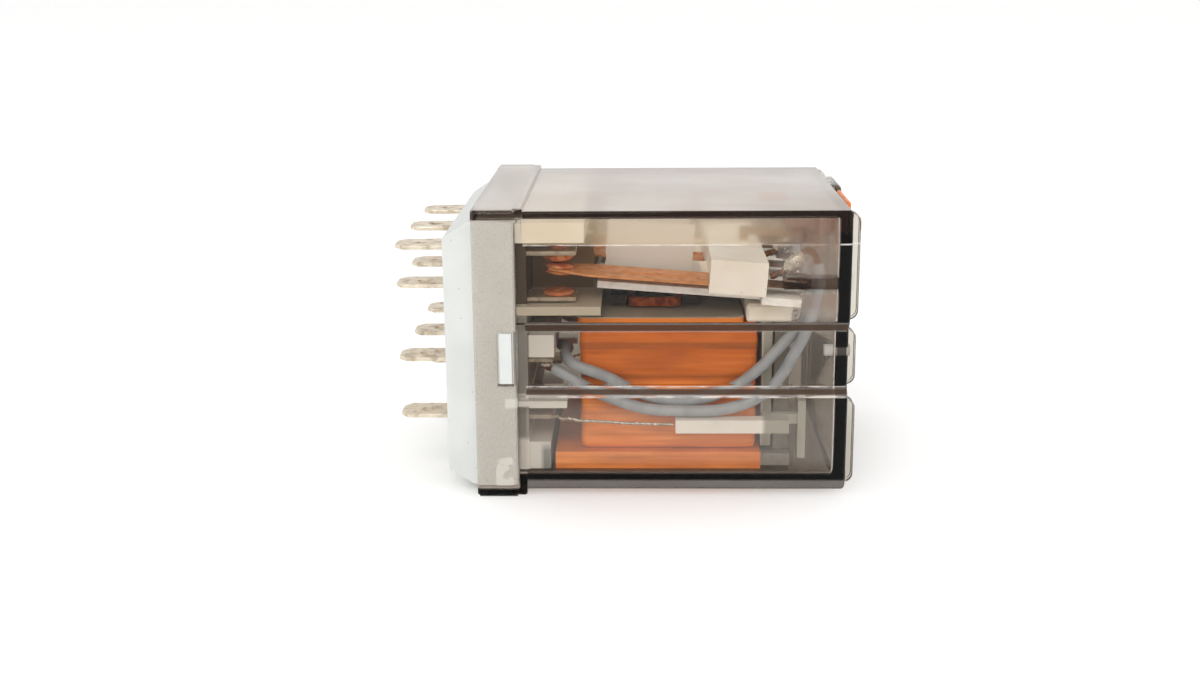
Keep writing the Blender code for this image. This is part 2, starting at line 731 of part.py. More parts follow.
def make_contact_springs(pivot):
    """Leaf springs with a folded lug at the hinge end, each with its double contact."""
    half = SPRING_THICKNESS / 2
    for number, y in enumerate(ROWS, 1):
        side = [
            (SPRING_TIP_X, SPRING_TIP_HALF_Y),
            (SPRING_WIDE_X, SPRING_HALF_Y),
            (SPRING_NECK_X - 0.6, SPRING_HALF_Y),
            (SPRING_NECK_X, SPRING_NECK_HALF_Y),
            (SPRING_END_X, SPRING_NECK_HALF_Y),
        ]
        outline = [(u, y + v) for u, v in side] + [(u, y - v) for u, v in reversed(side)]
        contact_u = (CONTACT_X - HINGE_X) / math.cos(OPEN_ANGLE)
        bore = circle(contact_u, y, SHANK_RADIUS + SHANK_GAP, 12)
        level = (SPRING_Z - half, SPRING_Z + half)
        spring = prism(f"contact_spring_{number}", "Z", outline, level, "spring_copper", [bore])
        spring.parent = pivot
        lug_y = (y - SPRING_NECK_HALF_Y + 0.1, y + SPRING_NECK_HALF_Y - 0.1)
        fold_z = (SPRING_Z - half + 0.05, LUG_Z + half)
        fold = box(f"spring_fold_{number}", (SPRING_END_X - 0.35, SPRING_END_X - 0.05), lug_y, fold_z)
        lug_x = (LUG_START_X, SPRING_END_X - 0.15)
        lug = box(f"spring_lug_{number}", lug_x, inset(lug_y, 0.1), (LUG_Z - half, LUG_Z + half - 0.05))
        combine(spring, "UNION", fold, lug)
        near = half + FACE_GAP
        dome = dome_profile(CONTACT_RADIUS * 0.9, near + 0.2, MOVING_HALF_HEIGHT - near - 0.2)
        upper = dome + [(CONTACT_RADIUS * 0.9, near), (SHANK_RADIUS, near)]
        profile = upper + [(radius, -height) for radius, height in reversed(upper)]
        place = (contact_u, y, SPRING_Z)
        contact = turned(f"moving_contact_{number}", profile, place, "silver_contact")
        contact.parent = pivot


def make_carrier(pivot):
    carrier = box("contact_carrier", CARRIER_X, both_ways(CARRIER_HALF_Y), CARRIER_Z, "cream_moulding")
    carrier.parent = pivot
    for side, sign in (("front", -1), ("rear", 1)):
        limits = sorted((sign * WING_Y[0], sign * WING_Y[1]))
        wing = box(f"{side}_wing", WING_X, limits, (CARRIER_Z[0] + 0.1, WING_TOP))
        bridge_x = (WING_X[1] - 1.0, CARRIER_X[0] + 0.5)
        bridge = box(f"{side}_bridge", bridge_x, inset(limits, 0.1), (CARRIER_Z[0] + 0.2, WING_BRIDGE_TOP))
        combine(carrier, "UNION", wing, bridge)
    riser_x = (ARM_X[0], ARM_X[0] + ARM_WIDTH)
    finger_x = (ARM_X[1] - ARM_WIDTH, ARM_X[1])
    riser = box("arm_riser", riser_x, ARM_Y, (CARRIER_Z[1] - 1.0, ARM_Z[1]))
    arm = box("arm", (ARM_X[0] + 0.1, ARM_X[1]), inset(ARM_Y, 0.05), ARM_Z)
    finger = box("finger", finger_x, ARM_Y, (ARM_Z[0] + 0.1, FINGER_TOP))
    combine(carrier, "UNION", riser, arm, finger)
    for number, y in enumerate(ROWS, 1):
        slot_y = (y - CARRIER_SLOT_HALF_Y, y + CARRIER_SLOT_HALF_Y)
        slot_z = (SPRING_Z - CARRIER_SLOT_HALF_Z, SPRING_Z + CARRIER_SLOT_HALF_Z)
        combine(carrier, "DIFFERENCE", box(f"spring_slot_{number}", inset(CARRIER_X, -1.0), slot_y, slot_z))


def make_solder_joints():
    for number, y in enumerate(ROWS, 1):
        bm = bmesh.new()
        bmesh.ops.create_uvsphere(bm, u_segments=12, v_segments=8, radius=SOLDER_RADIUS * MM)
        stretch = SOLDER_HALF_LENGTH / SOLDER_RADIUS
        bmesh.ops.scale(bm, vec=(1.0, 1.0, stretch), verts=bm.verts)
        mesh = bpy.data.meshes.new(f"solder_joint_{number}")
        bm.to_mesh(mesh)
        bm.free()
        mesh.shade_smooth()
        joint = add_object(mesh.name, mesh, "solder")
        joint.location = (SOLDER_CENTRE[0] * MM, y * MM, SOLDER_CENTRE[1] * MM)
        joint.rotation_euler = (0.0, SOLDER_TILT, 0.0)


def make_yoke():
    yoke = box("yoke", YOKE_X, both_ways(YOKE_HALF_Y), YOKE_Z, "plated_steel")
    limb = box("yoke_limb", LIMB_X, both_ways(LIMB_HALF_Y), (YOKE_Z[0] + 0.2, LIMB_TOP))
    hook = box("yoke_hook", (LIMB_X[1] - 0.5, YOKE_HOOK_END), HOOK_Y, YOKE_HOOK_Z)
    combine(yoke, "UNION", limb, hook)
    bore = cylinder("yoke_bore", (CORE_X, 0.0), CORE_NECK_RADIUS + 0.1, inset(YOKE_Z, -1.0))
    combine(yoke, "DIFFERENCE", bore)


def make_yoke_sleeve():
    """Tape folded round the yoke's lower limb, open towards the upright limb."""
    reach = SLEEVE_GAP + SLEEVE_WALL
    outer = (both_ways(YOKE_HALF_Y + reach), inset(YOKE_Z, -reach))
    inner = (both_ways(YOKE_HALF_Y + SLEEVE_GAP), inset(YOKE_Z, -SLEEVE_GAP))
    sleeve = box("yoke_sleeve", SLEEVE_X, *outer, "orange_tape")
    space = box("sleeve_space", (SLEEVE_X[0] + SLEEVE_WALL, SLEEVE_X[1] + 1.0), *inner)
    bore = cylinder("sleeve_bore", (CORE_X, 0.0), CORE_NECK_RADIUS + 0.4, (YOKE_Z[1] - 0.5, YOKE_Z[1] + 2.0))
    combine(sleeve, "DIFFERENCE", space, bore)


def make_core():
    core = cylinder("core", (CORE_X, 0.0), CORE_RADIUS, (CORE_SHOULDER_Z, POLE_Z[0] + 0.4), "Z", "plated_steel")
    neck = cylinder("core_neck", (CORE_X, 0.0), CORE_NECK_RADIUS, (YOKE_Z[0] + 0.1, CORE_SHOULDER_Z + 1.0))
    pole = box("pole_shoe", POLE_X, both_ways(POLE_HALF_Y), POLE_Z)
    combine(core, "UNION", neck, pole)
    outer = rounded_rectangle(inset(RING_X, -RING_GAP), inset(RING_Y, -RING_GAP), 1.0)
    inner = rounded_rectangle(inset(RING_X, RING_WIDTH + RING_GAP), inset(RING_Y, RING_WIDTH + RING_GAP), 0.5)
    groove = prism("ring_groove", "Z", outer, (RING_Z[0] - RING_GAP, RING_Z[1] + 1.0), None, [inner])
    combine(core, "DIFFERENCE", groove)


def make_shading_ring():
    outer = rounded_rectangle(RING_X, RING_Y, 1.0)
    inner = rounded_rectangle(inset(RING_X, RING_WIDTH), inset(RING_Y, RING_WIDTH), 0.5)
    prism("shading_ring", "Z", outer, RING_Z, "copper", [inner])


def make_bobbin():
    bore = circle(CORE_X, 0.0, BARREL_BORE)
    shape = rounded_rectangle(BOBBIN_TOP_X, both_ways(BOBBIN_TOP_HALF_Y), 1.0)
    bobbin = prism("bobbin", "Z", shape, BOBBIN_TOP_Z, "tan_bobbin", [bore])
    barrel_z = (BOBBIN_FOOT_Z[0] + 0.1, BOBBIN_TOP_Z[1] - 0.1)
    outer = circle(CORE_X, 0.0, BARREL_RADIUS)
    bore_inside = circle(CORE_X, 0.0, BARREL_BORE + 0.02)
    barrel = prism("barrel", "Z", outer, barrel_z, None, [bore_inside])
    shape = rounded_rectangle(BOBBIN_FOOT_X, both_ways(BOBBIN_FOOT_HALF_Y), COIL_CORNER - 0.6)
    foot = prism("bobbin_foot", "Z", shape, BOBBIN_FOOT_Z, None, [bore])
    combine(bobbin, "UNION", barrel, foot)


def coil_outline(inward):
    limits = inset(COIL_X, inward)
    return rounded_rectangle(limits, both_ways(COIL_HALF_Y - inward), COIL_CORNER - inward, 6)


def make_coil():
    prism("coil_tape", "Z", coil_outline(0.0), TAPE_Z, "orange_tape", [coil_outline(TAPE_THICKNESS)])
    bore = circle(CORE_X, 0.0, BARREL_RADIUS + 0.1)
    winding_outline = coil_outline(TAPE_THICKNESS + 0.1)
    prism("coil_winding", "Z", winding_outline, WINDING_Z, "copper", [bore])


def make_coil_insulator():
    wall_y = both_ways(INSULATOR_HALF_Y)
    insulator = box("coil_insulator", INSULATOR_X, wall_y, INSULATOR_Z, "nylon")
    for side, sign in (("front", -1), ("rear", 1)):
        bar_y = sorted((sign * HOLDER_Y[0], sign * HOLDER_Y[1]))
        arm_y = sorted((sign * (INSULATOR_HALF_Y - 1.0), sign * (HOLDER_Y[1] - 0.1)))
        web_y = sorted((sign * (FIN_Y[0] + 1.5), sign * (FIN_Y[1] - 0.2)))
        fin_y = sorted((sign * FIN_Y[0], sign * FIN_Y[1]))
        bar = box(f"{side}_holder", HOLDER_X, bar_y, HOLDER_Z)
        arm = box(f"{side}_arm", inset(INSULATOR_X, 0.1), arm_y, inset(HOLDER_Z, 0.1))
        web = box(f"{side}_web", (INSULATOR_X[0] + 0.2, FIN_X[0] + 0.5), web_y, inset(HOLDER_Z, 0.2))
        fin = box(f"{side}_fin", FIN_X, fin_y, FIN_Z)
        combine(insulator, "UNION", arm, bar, web, fin)


def make_bearing():
    bearing = box("armature_bearing", BEARING_X, both_ways(BEARING_HALF_Y), BEARING_Z, "cream_moulding")
    round_edges(bearing, 0.3, 1)


def make_return_spring():
    """A close helix between the hooks of the armature and the yoke."""
    points = []
    total = RETURN_TURNS * RETURN_STEPS
    for step in range(total + 1):
        angle = 2 * math.pi * step / RETURN_STEPS
        height = RETURN_Z[0] + (RETURN_Z[1] - RETURN_Z[0]) * step / total
        x = RETURN_X + RETURN_RADIUS * math.cos(angle)
        y = RETURN_Y + RETURN_RADIUS * math.sin(angle)
        points.append((x, y, height))
    wire("return_spring", points, RETURN_WIRE, "plated_steel", 1)


def make_test_button():
    button = box("test_button", BUTTON_X, BUTTON_Y, BUTTON_Z, "orange_button")
    round_edges(button, BUTTON_EDGE, 2)
    neck = box("button_neck", NECK_X, NECK_Y, NECK_Z)
    flange = box("button_flange", FLANGE_X, FLANGE_Y, FLANGE_Z)
    stem = box("button_stem", STEM_X, STEM_Y, STEM_Z)
    combine(button, "UNION", neck, flange, stem)
    combine(button, "DIFFERENCE", box("stem_window", STEM_WINDOW_X, STEM_WINDOW_Y, inset(STEM_Z, -1.0)))


def make_vent_plug():
    plug = cylinder("vent_plug", (PLUG_Y, PLUG_Z), PLUG_RADIUS, PLUG_X, "X", "white_moulding", 16)
    round_edges(plug, 0.2, 1)


def make_leads():
    routes = (OUTER_ROUTE, MIDDLE_ROUTE, mirror_y(OUTER_ROUTE))
    for number, route in enumerate(routes, 1):
        points = smooth_route(route, PIGTAIL_SPACING)
        wire(f"pigtail_{number}", points, PIGTAIL_RADIUS, "grey_insulation")
    for number, route in enumerate((LEAD_ROUTE, mirror_y(LEAD_ROUTE)), 1):
        wire(f"coil_lead_{number}", smooth_route(route, LEAD_SPACING), LEAD_RADIUS, "solder", 1)


clear_scene()
PARTS = new_collection("plug_in_relay")
TOOLS = new_collection("tools")
FINISH = make_finishes()
make_cover()
make_base()
make_contact_block()
make_terminals()
make_fixed_contacts()
PIVOT = make_pivot()
make_armature(PIVOT)
make_contact_springs(PIVOT)
make_carrier(PIVOT)
make_solder_joints()
make_yoke()
make_yoke_sleeve()
make_core()
make_shading_ring()
make_bobbin()
make_coil()
make_coil_insulator()
make_bearing()
make_return_spring()
make_test_button()
make_vent_plug()
make_leads()
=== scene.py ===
"""The looks of the plug-in relay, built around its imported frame.

Lengths are in millimetres until they reach Blender. X runs from the tabs to the far end of the
cover, Y goes through the three poles, and Z is up.
"""

import json
import math

import bmesh
import bpy
from mathutils import Matrix, Vector, noise


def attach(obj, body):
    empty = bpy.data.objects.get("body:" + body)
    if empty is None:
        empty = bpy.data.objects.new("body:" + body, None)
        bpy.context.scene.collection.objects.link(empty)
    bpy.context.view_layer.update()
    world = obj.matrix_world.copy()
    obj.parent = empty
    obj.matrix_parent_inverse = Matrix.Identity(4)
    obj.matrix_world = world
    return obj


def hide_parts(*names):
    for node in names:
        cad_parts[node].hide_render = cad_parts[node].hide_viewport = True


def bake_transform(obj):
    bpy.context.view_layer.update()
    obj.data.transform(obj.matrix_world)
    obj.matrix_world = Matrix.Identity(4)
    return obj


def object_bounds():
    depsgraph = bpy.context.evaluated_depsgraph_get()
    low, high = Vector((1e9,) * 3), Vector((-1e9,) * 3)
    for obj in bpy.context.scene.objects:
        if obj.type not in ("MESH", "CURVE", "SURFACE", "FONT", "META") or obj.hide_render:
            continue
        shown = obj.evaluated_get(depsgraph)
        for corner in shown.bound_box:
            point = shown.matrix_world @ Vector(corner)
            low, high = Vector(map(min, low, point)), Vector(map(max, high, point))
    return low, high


MM = 0.001
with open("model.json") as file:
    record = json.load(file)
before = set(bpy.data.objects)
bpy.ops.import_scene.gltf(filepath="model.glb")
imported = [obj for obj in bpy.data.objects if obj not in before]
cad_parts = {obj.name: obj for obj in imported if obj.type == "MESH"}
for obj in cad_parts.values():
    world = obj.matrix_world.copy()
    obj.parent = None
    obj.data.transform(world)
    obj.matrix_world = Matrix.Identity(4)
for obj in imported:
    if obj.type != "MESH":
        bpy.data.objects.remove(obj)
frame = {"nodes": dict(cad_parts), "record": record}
CAD_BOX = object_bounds()

# Camera
LENS = 44.86
CAMERA_PLACE = (24.146, -197.398, 47.936)
CAMERA_PITCH = math.radians(14.40)
CAMERA_YAW = math.radians(-1.576)
CAMERA_ROLL = math.radians(-0.47)

# Studio, in metres
FLOOR_SIZE = 12.0
FLOOR_GAP = 0.02 * MM
SKY_STRENGTH = 1.0

# Cover: its ends along X, its half widths and levels, and the marks that its looks follow
RIM_X = 3.7
COLLAR_END = 9.0
RAIL_END = 9.9
CASE_END = 49.9
LIP_END = 50.9
BOSS_END = 51.5
COLLAR_HALF_Y = 20.2
COLLAR_Z = (-18.5, 18.2)
CASE_HALF_Y = 19.3
CASE_HALF_Z = 17.75
WALL = 1.5
TOP_WALL = 1.0
INNER_END = CASE_END - WALL
IN_END_WALL = CASE_END - WALL / 2
LANE_DEPTH = 0.9
LANE_Z = (-5.6, 3.7)
SLOPE_FOOT = 13.7
SLOPE_INSET = 0.45
LIP_Y = (17.1, 18.6)
GUIDE_START = 41.6
GUIDE_Y = (16.1, 18.2)
GUIDE_Z = (7.9, 9.4)
GUIDE_MIDDLE_Z = 8.65
TOP_EDGE_Z = 16.8
UNDERSIDE_Z = -16.3


# -------- studio


def make_camera():
    data = bpy.data.cameras.new("camera")
    data.lens = LENS
    data.clip_start = 0.005
    camera = bpy.data.objects.new("camera", data)
    bpy.context.scene.collection.objects.link(camera)
    east = math.sin(CAMERA_YAW)
    north = math.cos(CAMERA_YAW)
    reach = math.cos(CAMERA_PITCH)
    forward = Vector((east * reach, north * reach, -math.sin(CAMERA_PITCH)))
    level = Vector((north, -east, 0.0))
    upright = level.cross(forward)
    right = math.cos(CAMERA_ROLL) * level + math.sin(CAMERA_ROLL) * upright
    up = math.cos(CAMERA_ROLL) * upright - math.sin(CAMERA_ROLL) * level
    turn = Matrix((right, up, -forward)).transposed().to_4x4()
    camera.matrix_world = Matrix.Translation(Vector(CAMERA_PLACE) * MM) @ turn
    bpy.context.scene.camera = camera


def make_floor():
    bm = bmesh.new()
    bmesh.ops.create_grid(bm, x_segments=8, y_segments=8, size=FLOOR_SIZE / 2)
    mesh = bpy.data.meshes.new("floor")
    bm.to_mesh(mesh)
    bm.free()
    floor = bpy.data.objects.new("floor", mesh)
    bpy.context.scene.collection.objects.link(floor)
    floor.location = (0.0, 0.0, CAD_BOX[0].z - FLOOR_GAP)
    mesh.materials.append(Finish("floor_paper", (0.99, 0.99, 0.985), 0.9).material)


def area_light(name, place, target, size, power):
    data = bpy.data.lights.new(name, "AREA")
    data.shape = "RECTANGLE"
    data.size = size[0]
    data.size_y = size[1]
    data.energy = power
    light = bpy.data.objects.new(name, data)
    bpy.context.scene.collection.objects.link(light)
    light.location = place
    aim = Vector(target) - Vector(place)
    light.rotation_euler = aim.to_track_quat("-Z", "Y").to_euler()


def make_studio():
    world = bpy.data.worlds.new("studio")
    world.use_nodes = True
    background = world.node_tree.nodes["Background"]
    background.inputs["Color"].default_value = (1.0, 1.0, 1.0, 1.0)
    background.inputs["Strength"].default_value = SKY_STRENGTH
    bpy.context.scene.world = world
    bpy.context.scene.view_settings.view_transform = "Standard"
    area_light("key_light", (-0.12, -0.60, 0.46), (0.02, 0.0, 0.0), (0.50, 0.24), 2.0)
    area_light("fill_light", (0.45, -0.45, 0.25), (0.03, 0.0, 0.0), (0.4, 0.4), 0.4)


# -------- materials


LINE_FADE = 1.6
WHITE = (1.0, 1.0, 1.0)


def srgb(code):
    """A colour written as on a paint chart, in the linear values that shaders use."""
    values = [int(code[i : i + 2], 16) / 255 for i in (0, 2, 4)]
    return tuple(v / 12.92 if v <= 0.04045 else ((v + 0.055) / 1.055) ** 2.4 for v in values)


class Finish:
    """A node material, with its Principled shader and short ways to vary it."""

    def __init__(self, name, colour, roughness, metallic=0.0):
        self.material = bpy.data.materials.new(name)
        self.material.use_nodes = True
        self.tree = self.material.node_tree
        self.shader = self.tree.nodes["Principled BSDF"]
        self.set("Base Color", (*colour, 1.0))
        self.set("Roughness", roughness)
        self.set("Metallic", metallic)
        self.coordinates = self.tree.nodes.new("ShaderNodeTexCoord").outputs["Object"]

    def set(self, socket, value):
        self.shader.inputs[socket].default_value = value

    def link(self, output, socket):
        self.tree.links.new(output, socket)

    def feed(self, value, socket):
        """A field linked to a socket, or a plain colour or number set on it."""
        if isinstance(value, bpy.types.NodeSocket):
            self.link(value, socket)
        elif isinstance(value, tuple):
            socket.default_value = (*value, 1.0)
        else:
            socket.default_value = value

    def placed(self, size, stretch):
        """Object coordinates scaled so that one unit is a size in millimetres."""
        mapping = self.tree.nodes.new("ShaderNodeMapping")
        mapping.inputs["Scale"].default_value = [1.0 / (size * MM * s) for s in stretch]
        self.link(self.coordinates, mapping.inputs["Vector"])
        return mapping.outputs["Vector"]

    def noise(self, size, stretch=(1.0, 1.0, 1.0), detail=3.0, distortion=0.0):
        texture = self.tree.nodes.new("ShaderNodeTexNoise")
        texture.inputs["Scale"].default_value = 1.0
        texture.inputs["Detail"].default_value = detail
        texture.inputs["Distortion"].default_value = distortion
        self.link(self.placed(size, stretch), texture.inputs["Vector"])
        return texture.outputs["Fac"]

    def cells(self, size):
        texture = self.tree.nodes.new("ShaderNodeTexVoronoi")
        texture.inputs["Scale"].default_value = 1.0
        self.link(self.placed(size, (1.0, 1.0, 1.0)), texture.inputs["Vector"])
        return texture.outputs["Distance"]

    def steps(self, field, *stops):
        """A field turned into colours at (place, colour) stops."""
        ramp = self.tree.nodes.new("ShaderNodeValToRGB")
        elements = ramp.color_ramp.elements
        while len(elements) < len(stops):
            elements.new(0.5)
        for element, (place, colour) in zip(elements, stops):
            element.position = place
            element.color = (*colour, 1.0)
        self.link(field, ramp.inputs["Fac"])
        return ramp.outputs["Color"]

    def span(self, field, low, high, start=0.3, end=0.7):
        """A field's middle range stretched between two values."""
        ranged = self.tree.nodes.new("ShaderNodeMapRange")
        ranged.inputs["From Min"].default_value = start
        ranged.inputs["From Max"].default_value = end
        ranged.inputs["To Min"].default_value = low
        ranged.inputs["To Max"].default_value = high
        self.link(field, ranged.inputs["Value"])
        return ranged.outputs["Result"]

    def calculated(self, operation, *values):
        """Values put through one operation, from the first to the last."""
        result = values[0]
        for value in values[1:]:
            math_node = self.tree.nodes.new("ShaderNodeMath")
            math_node.operation = operation
            self.feed(result, math_node.inputs[0])
            self.feed(value, math_node.inputs[1])
            result = math_node.outputs["Value"]
        return result

    def product(self, *values):
        return self.calculated("MULTIPLY", *values)

    def largest(self, *values):
        return self.calculated("MAXIMUM", *values)

    def total(self, *values):
        return self.calculated("ADD", *values)

    def difference(self, first, second):
        return self.calculated("SUBTRACT", first, second)

    def size_of(self, field):
        return self.calculated("ABSOLUTE", field, 0.0)

    def place(self, axis):
        """One of the object's own coordinates, in millimetres."""
        split = self.tree.nodes.new("ShaderNodeSeparateXYZ")
        self.link(self.coordinates, split.inputs["Vector"])
        return self.product(split.outputs[axis], 1.0 / MM)

    def band(self, axis, start, end):
        """0 on the start's side of a place along an axis, and 1 on the end's side."""
        return self.span(self.place(axis), 0.0, 1.0, start, end)

    def line(self, axis, middle, half):
        """1 on a thin line at a place along an axis, and 0 away from it."""
        near = self.size_of(self.total(self.place(axis), -middle))
        return self.span(near, 1.0, 0.0, half, half * LINE_FADE)

    def sides(self, start, end):
        """0 near the middle plane of the relay, and 1 out at both long sides."""
        return self.span(self.size_of(self.place("Y")), 0.0, 1.0, start, end)

    def mixed(self, factor, first, second, blend="MIX"):
        mix = self.tree.nodes.new("ShaderNodeMix")
        mix.data_type = "RGBA"
        mix.blend_type = blend
        self.feed(factor, mix.inputs[0])
        self.feed(first, mix.inputs[6])
        self.feed(second, mix.inputs[7])
        return mix.outputs[2]

    def layered(self, ground, *layers):
        """A ground colour under (mask, colour) layers, the last of them on top."""
        for mask, colour in layers:
            ground = self.mixed(mask, ground, colour)
        return ground

    def colour(self, output):
        self.link(output, self.shader.inputs["Base Color"])

    def plain_colour(self):
        """The field that feeds the colour so far."""
        return self.shader.inputs["Base Color"].links[0].from_socket

    def rough(self, field, low, high):
        self.link(self.span(field, low, high), self.shader.inputs["Roughness"])

    def bump(self, *layers):
        """Height fields, each with its depth in millimetres, one on top of another."""
        normal = None
        for field, depth in layers:
            bump = self.tree.nodes.new("ShaderNodeBump")
            bump.inputs["Distance"].default_value = depth * MM
            self.link(field, bump.inputs["Height"])
            if normal:
                self.link(normal, bump.inputs["Normal"])
            normal = bump.outputs["Normal"]
        self.link(normal, self.shader.inputs["Normal"])


# Marks on the cover. Each is a place along an axis, and half of its width there
# Lines where highlights are painted along the cover's ridges
RIDGES_Z = ((13.66, 0.07), (-4.42, 0.06), (-5.52, 0.11))
# Lines where shade is painted on the lane's ledges
LEDGES_Z = ((3.25, 0.45), (-4.98, 0.26))
LOW_PANEL_Z = (-10.4, 2.95)
# A line where shade is painted along the floor edge
FLOOR_EDGE_Z = (-15.85, 0.42)
# A line where shade is painted along the end edge
END_EDGE_X = (49.15, 0.62)
WORN_X, WORN_Z = (7.2, 0.95), (-15.1, 1.6)
RIB_BEHIND_Z = (-6.1, 0.5)
STAIN_X, STAIN_Y = (41.0, 1.4), (-8.0, 3.0)
LEADS_Z = (8.9, 4.9)
SMUDGES_Z = (10.2, 4.1)


class CoverMasks:
    """Parts of the cover, each a field that is 1 on the part and 0 elsewhere."""

    def __init__(self, finish):
        band, line, product = finish.band, finish.line, finish.product
        past_rails = band("X", RAIL_END, RAIL_END + 0.1)
        before_end = band("X", INNER_END, INNER_END - 0.1)
        self.outside = product(finish.sides(CASE_HALF_Y - 1.0, CASE_HALF_Y - 0.95), past_rails)

        # Top
        past_collar = band("X", RAIL_END, RAIL_END + 0.01)
        case_top = product(band("Z", CASE_HALF_Z - 0.07, CASE_HALF_Z - 0.01), past_collar)
        self.collar_top = band("Z", COLLAR_Z[1] - 0.18, COLLAR_Z[1] - 0.08)
        self.top = finish.largest(case_top, self.collar_top)
        self.stain = product(line("X", *STAIN_X), line("Y", *STAIN_Y), self.top)

        # Collar
        collar_sides = finish.sides(COLLAR_HALF_Y - 0.7, COLLAR_HALF_Y - 0.2)
        self.collar = product(band("X", COLLAR_END + 0.15, COLLAR_END + 0.05), collar_sides)
        above_foot = band("Z", COLLAR_Z[0] + 1.1, COLLAR_Z[0] + 1.3)
        below_top = band("Z", COLLAR_Z[1] - 1.2, COLLAR_Z[1] - 1.4)
        self.collar_flat = product(self.collar, above_foot, below_top)
        patch = product(line("X", *WORN_X), line("Z", *WORN_Z), finish.noise(1.7, detail=2.0))
        rib_behind = product(band("X", 7.35, 7.45), line("Z", *RIB_BEHIND_Z))
        patch = finish.span(patch, 0.0, 1.0, 0.40, 0.45)
        self.worn = product(finish.largest(patch, rib_behind), self.collar)

        # Long sides
        on_slope = band("Z", SLOPE_FOOT - 0.02, SLOPE_FOOT + 0.04)
        self.slope = product(on_slope, band("Z", TOP_EDGE_Z, TOP_EDGE_Z - 0.1), before_end, self.outside)
        # Painted highlights along the ridges
        self.ridge_highlights = product(finish.largest(*(line("Z", *ridge) for ridge in RIDGES_Z)), self.outside)
        # Painted shade along the ledges
        self.ledge_shade = product(finish.largest(*(line("Z", *ledge) for ledge in LEDGES_Z)), self.outside)
        self.low_panel = product(line("Z", *LOW_PANEL_Z), self.outside, before_end)
        beside_guide = finish.difference(line("Z", *SMUDGES_Z), line("Z", GUIDE_MIDDLE_Z, 0.75))
        self.far_end = product(beside_guide, band("X", 40.0, 44.5), self.outside, before_end)
        self.over_leads = product(band("X", 43.6, 44.6), before_end, line("Z", *LEADS_Z), self.outside)

        # Edges and underside: painted shade on the top, floor and end edges and on the underside, then
        # the sole's band and the lips
        self.top_edge_shade = product(band("Z", TOP_EDGE_Z, TOP_EDGE_Z + 0.1), self.outside)
        self.floor_edge_shade = product(line("Z", *FLOOR_EDGE_Z), self.outside)
        self.underside_shade = product(band("Z", UNDERSIDE_Z, UNDERSIDE_Z - 0.15), self.outside)
        near_sides = finish.sides(CASE_HALF_Y - 0.3, CASE_HALF_Y - 0.05)
        self.sole = product(band("Z", UNDERSIDE_Z, UNDERSIDE_Z - 0.3), near_sides, past_rails)
        self.end_edge_shade = product(line("X", *END_EDGE_X), self.outside)
        self.lips = band("X", CASE_END + 0.05, CASE_END + 0.1)

        # The bars that guide the leads, as far out as the case's inner walls, where shade is painted on
        # them
        inner_wall = CASE_HALF_Y - WALL
        inside_walls = finish.difference(1.0, finish.sides(inner_wall - 0.05, inner_wall))
        around_guide = product(line("Z", GUIDE_MIDDLE_Z, 0.85), line("X", 45.0, 3.5))
        self.lead_guide = product(around_guide, finish.sides(GUIDE_Y[0] - 0.1, GUIDE_Y[0]), inside_walls)


def cover_veil(finish, masks):
    """A milky layer over the clear plastic, and how much of it covers each part. On the top and the
    collar's top it is a painted reflection of the bright surroundings, on the ridges a painted highlight
    and on the ledges a painted dark brown shade; on the collar it is the collar's own grainy, worn beige.
    """
    grain = finish.span(finish.noise(0.22), 0.6, 1.0, 0.35, 0.65)
    highlight_streaks = finish.span(finish.noise(0.5, (5.0, 1.0, 1.0), 5.0), 0.25, 1.0, 0.4, 0.6)
    smudges = finish.span(finish.noise(4.0, detail=4.0, distortion=0.5), 0.12, 0.42)
    shares = (
        # Painted reflection of the bright surroundings on the top and on the collar's top
        (masks.top, 0.42),
        (masks.collar_top, 0.46),
        (masks.collar_flat, grain, 0.42),
        (masks.sole, 0.19),
        # Painted highlights, in streaks, along the ridges
        (masks.ridge_highlights, highlight_streaks, 0.75),
        (masks.slope, 0.26),
        (masks.far_end, smudges),
        # Painted shade along the ledges
        (masks.ledge_shade, 0.66),
        (masks.low_panel, 0.1),
        (masks.worn, 0.7),
    )
    # How much veil each part gets: partly real haze, grain and wear, partly painted reflection,
    # highlights and shade
    haze_and_painted_light = finish.largest(*(finish.product(*share) for share in shares))
    clouds = finish.steps(finish.noise(14.0, detail=2.0), (0.3, srgb("D2C8BF")), (0.7, srgb("E2DCD6")))
    collar = finish.mixed(masks.worn, srgb("AFA496"), srgb("C6C0B6"))
    warm = finish.mixed(finish.band("X", 36.0, 43.0), srgb("CDB897"), srgb("937767"))
    colour = finish.layered(
        clouds,
        (masks.collar, collar),
        (finish.product(masks.stain, 0.2), srgb("E2A98A")),
        # The painted reflection's colour on the collar's top
        (masks.collar_top, srgb("D6CEC7")),
        (masks.far_end, srgb("A08776")),
        (masks.slope, warm),
        # The painted shade's dark brown on the ledges
        (masks.ledge_shade, srgb("55463C")),
    )
    veil = finish.tree.nodes.new("ShaderNodeBsdfDiffuse")
    finish.link(colour, veil.inputs["Color"])
    return veil.outputs["BSDF"], haze_and_painted_light


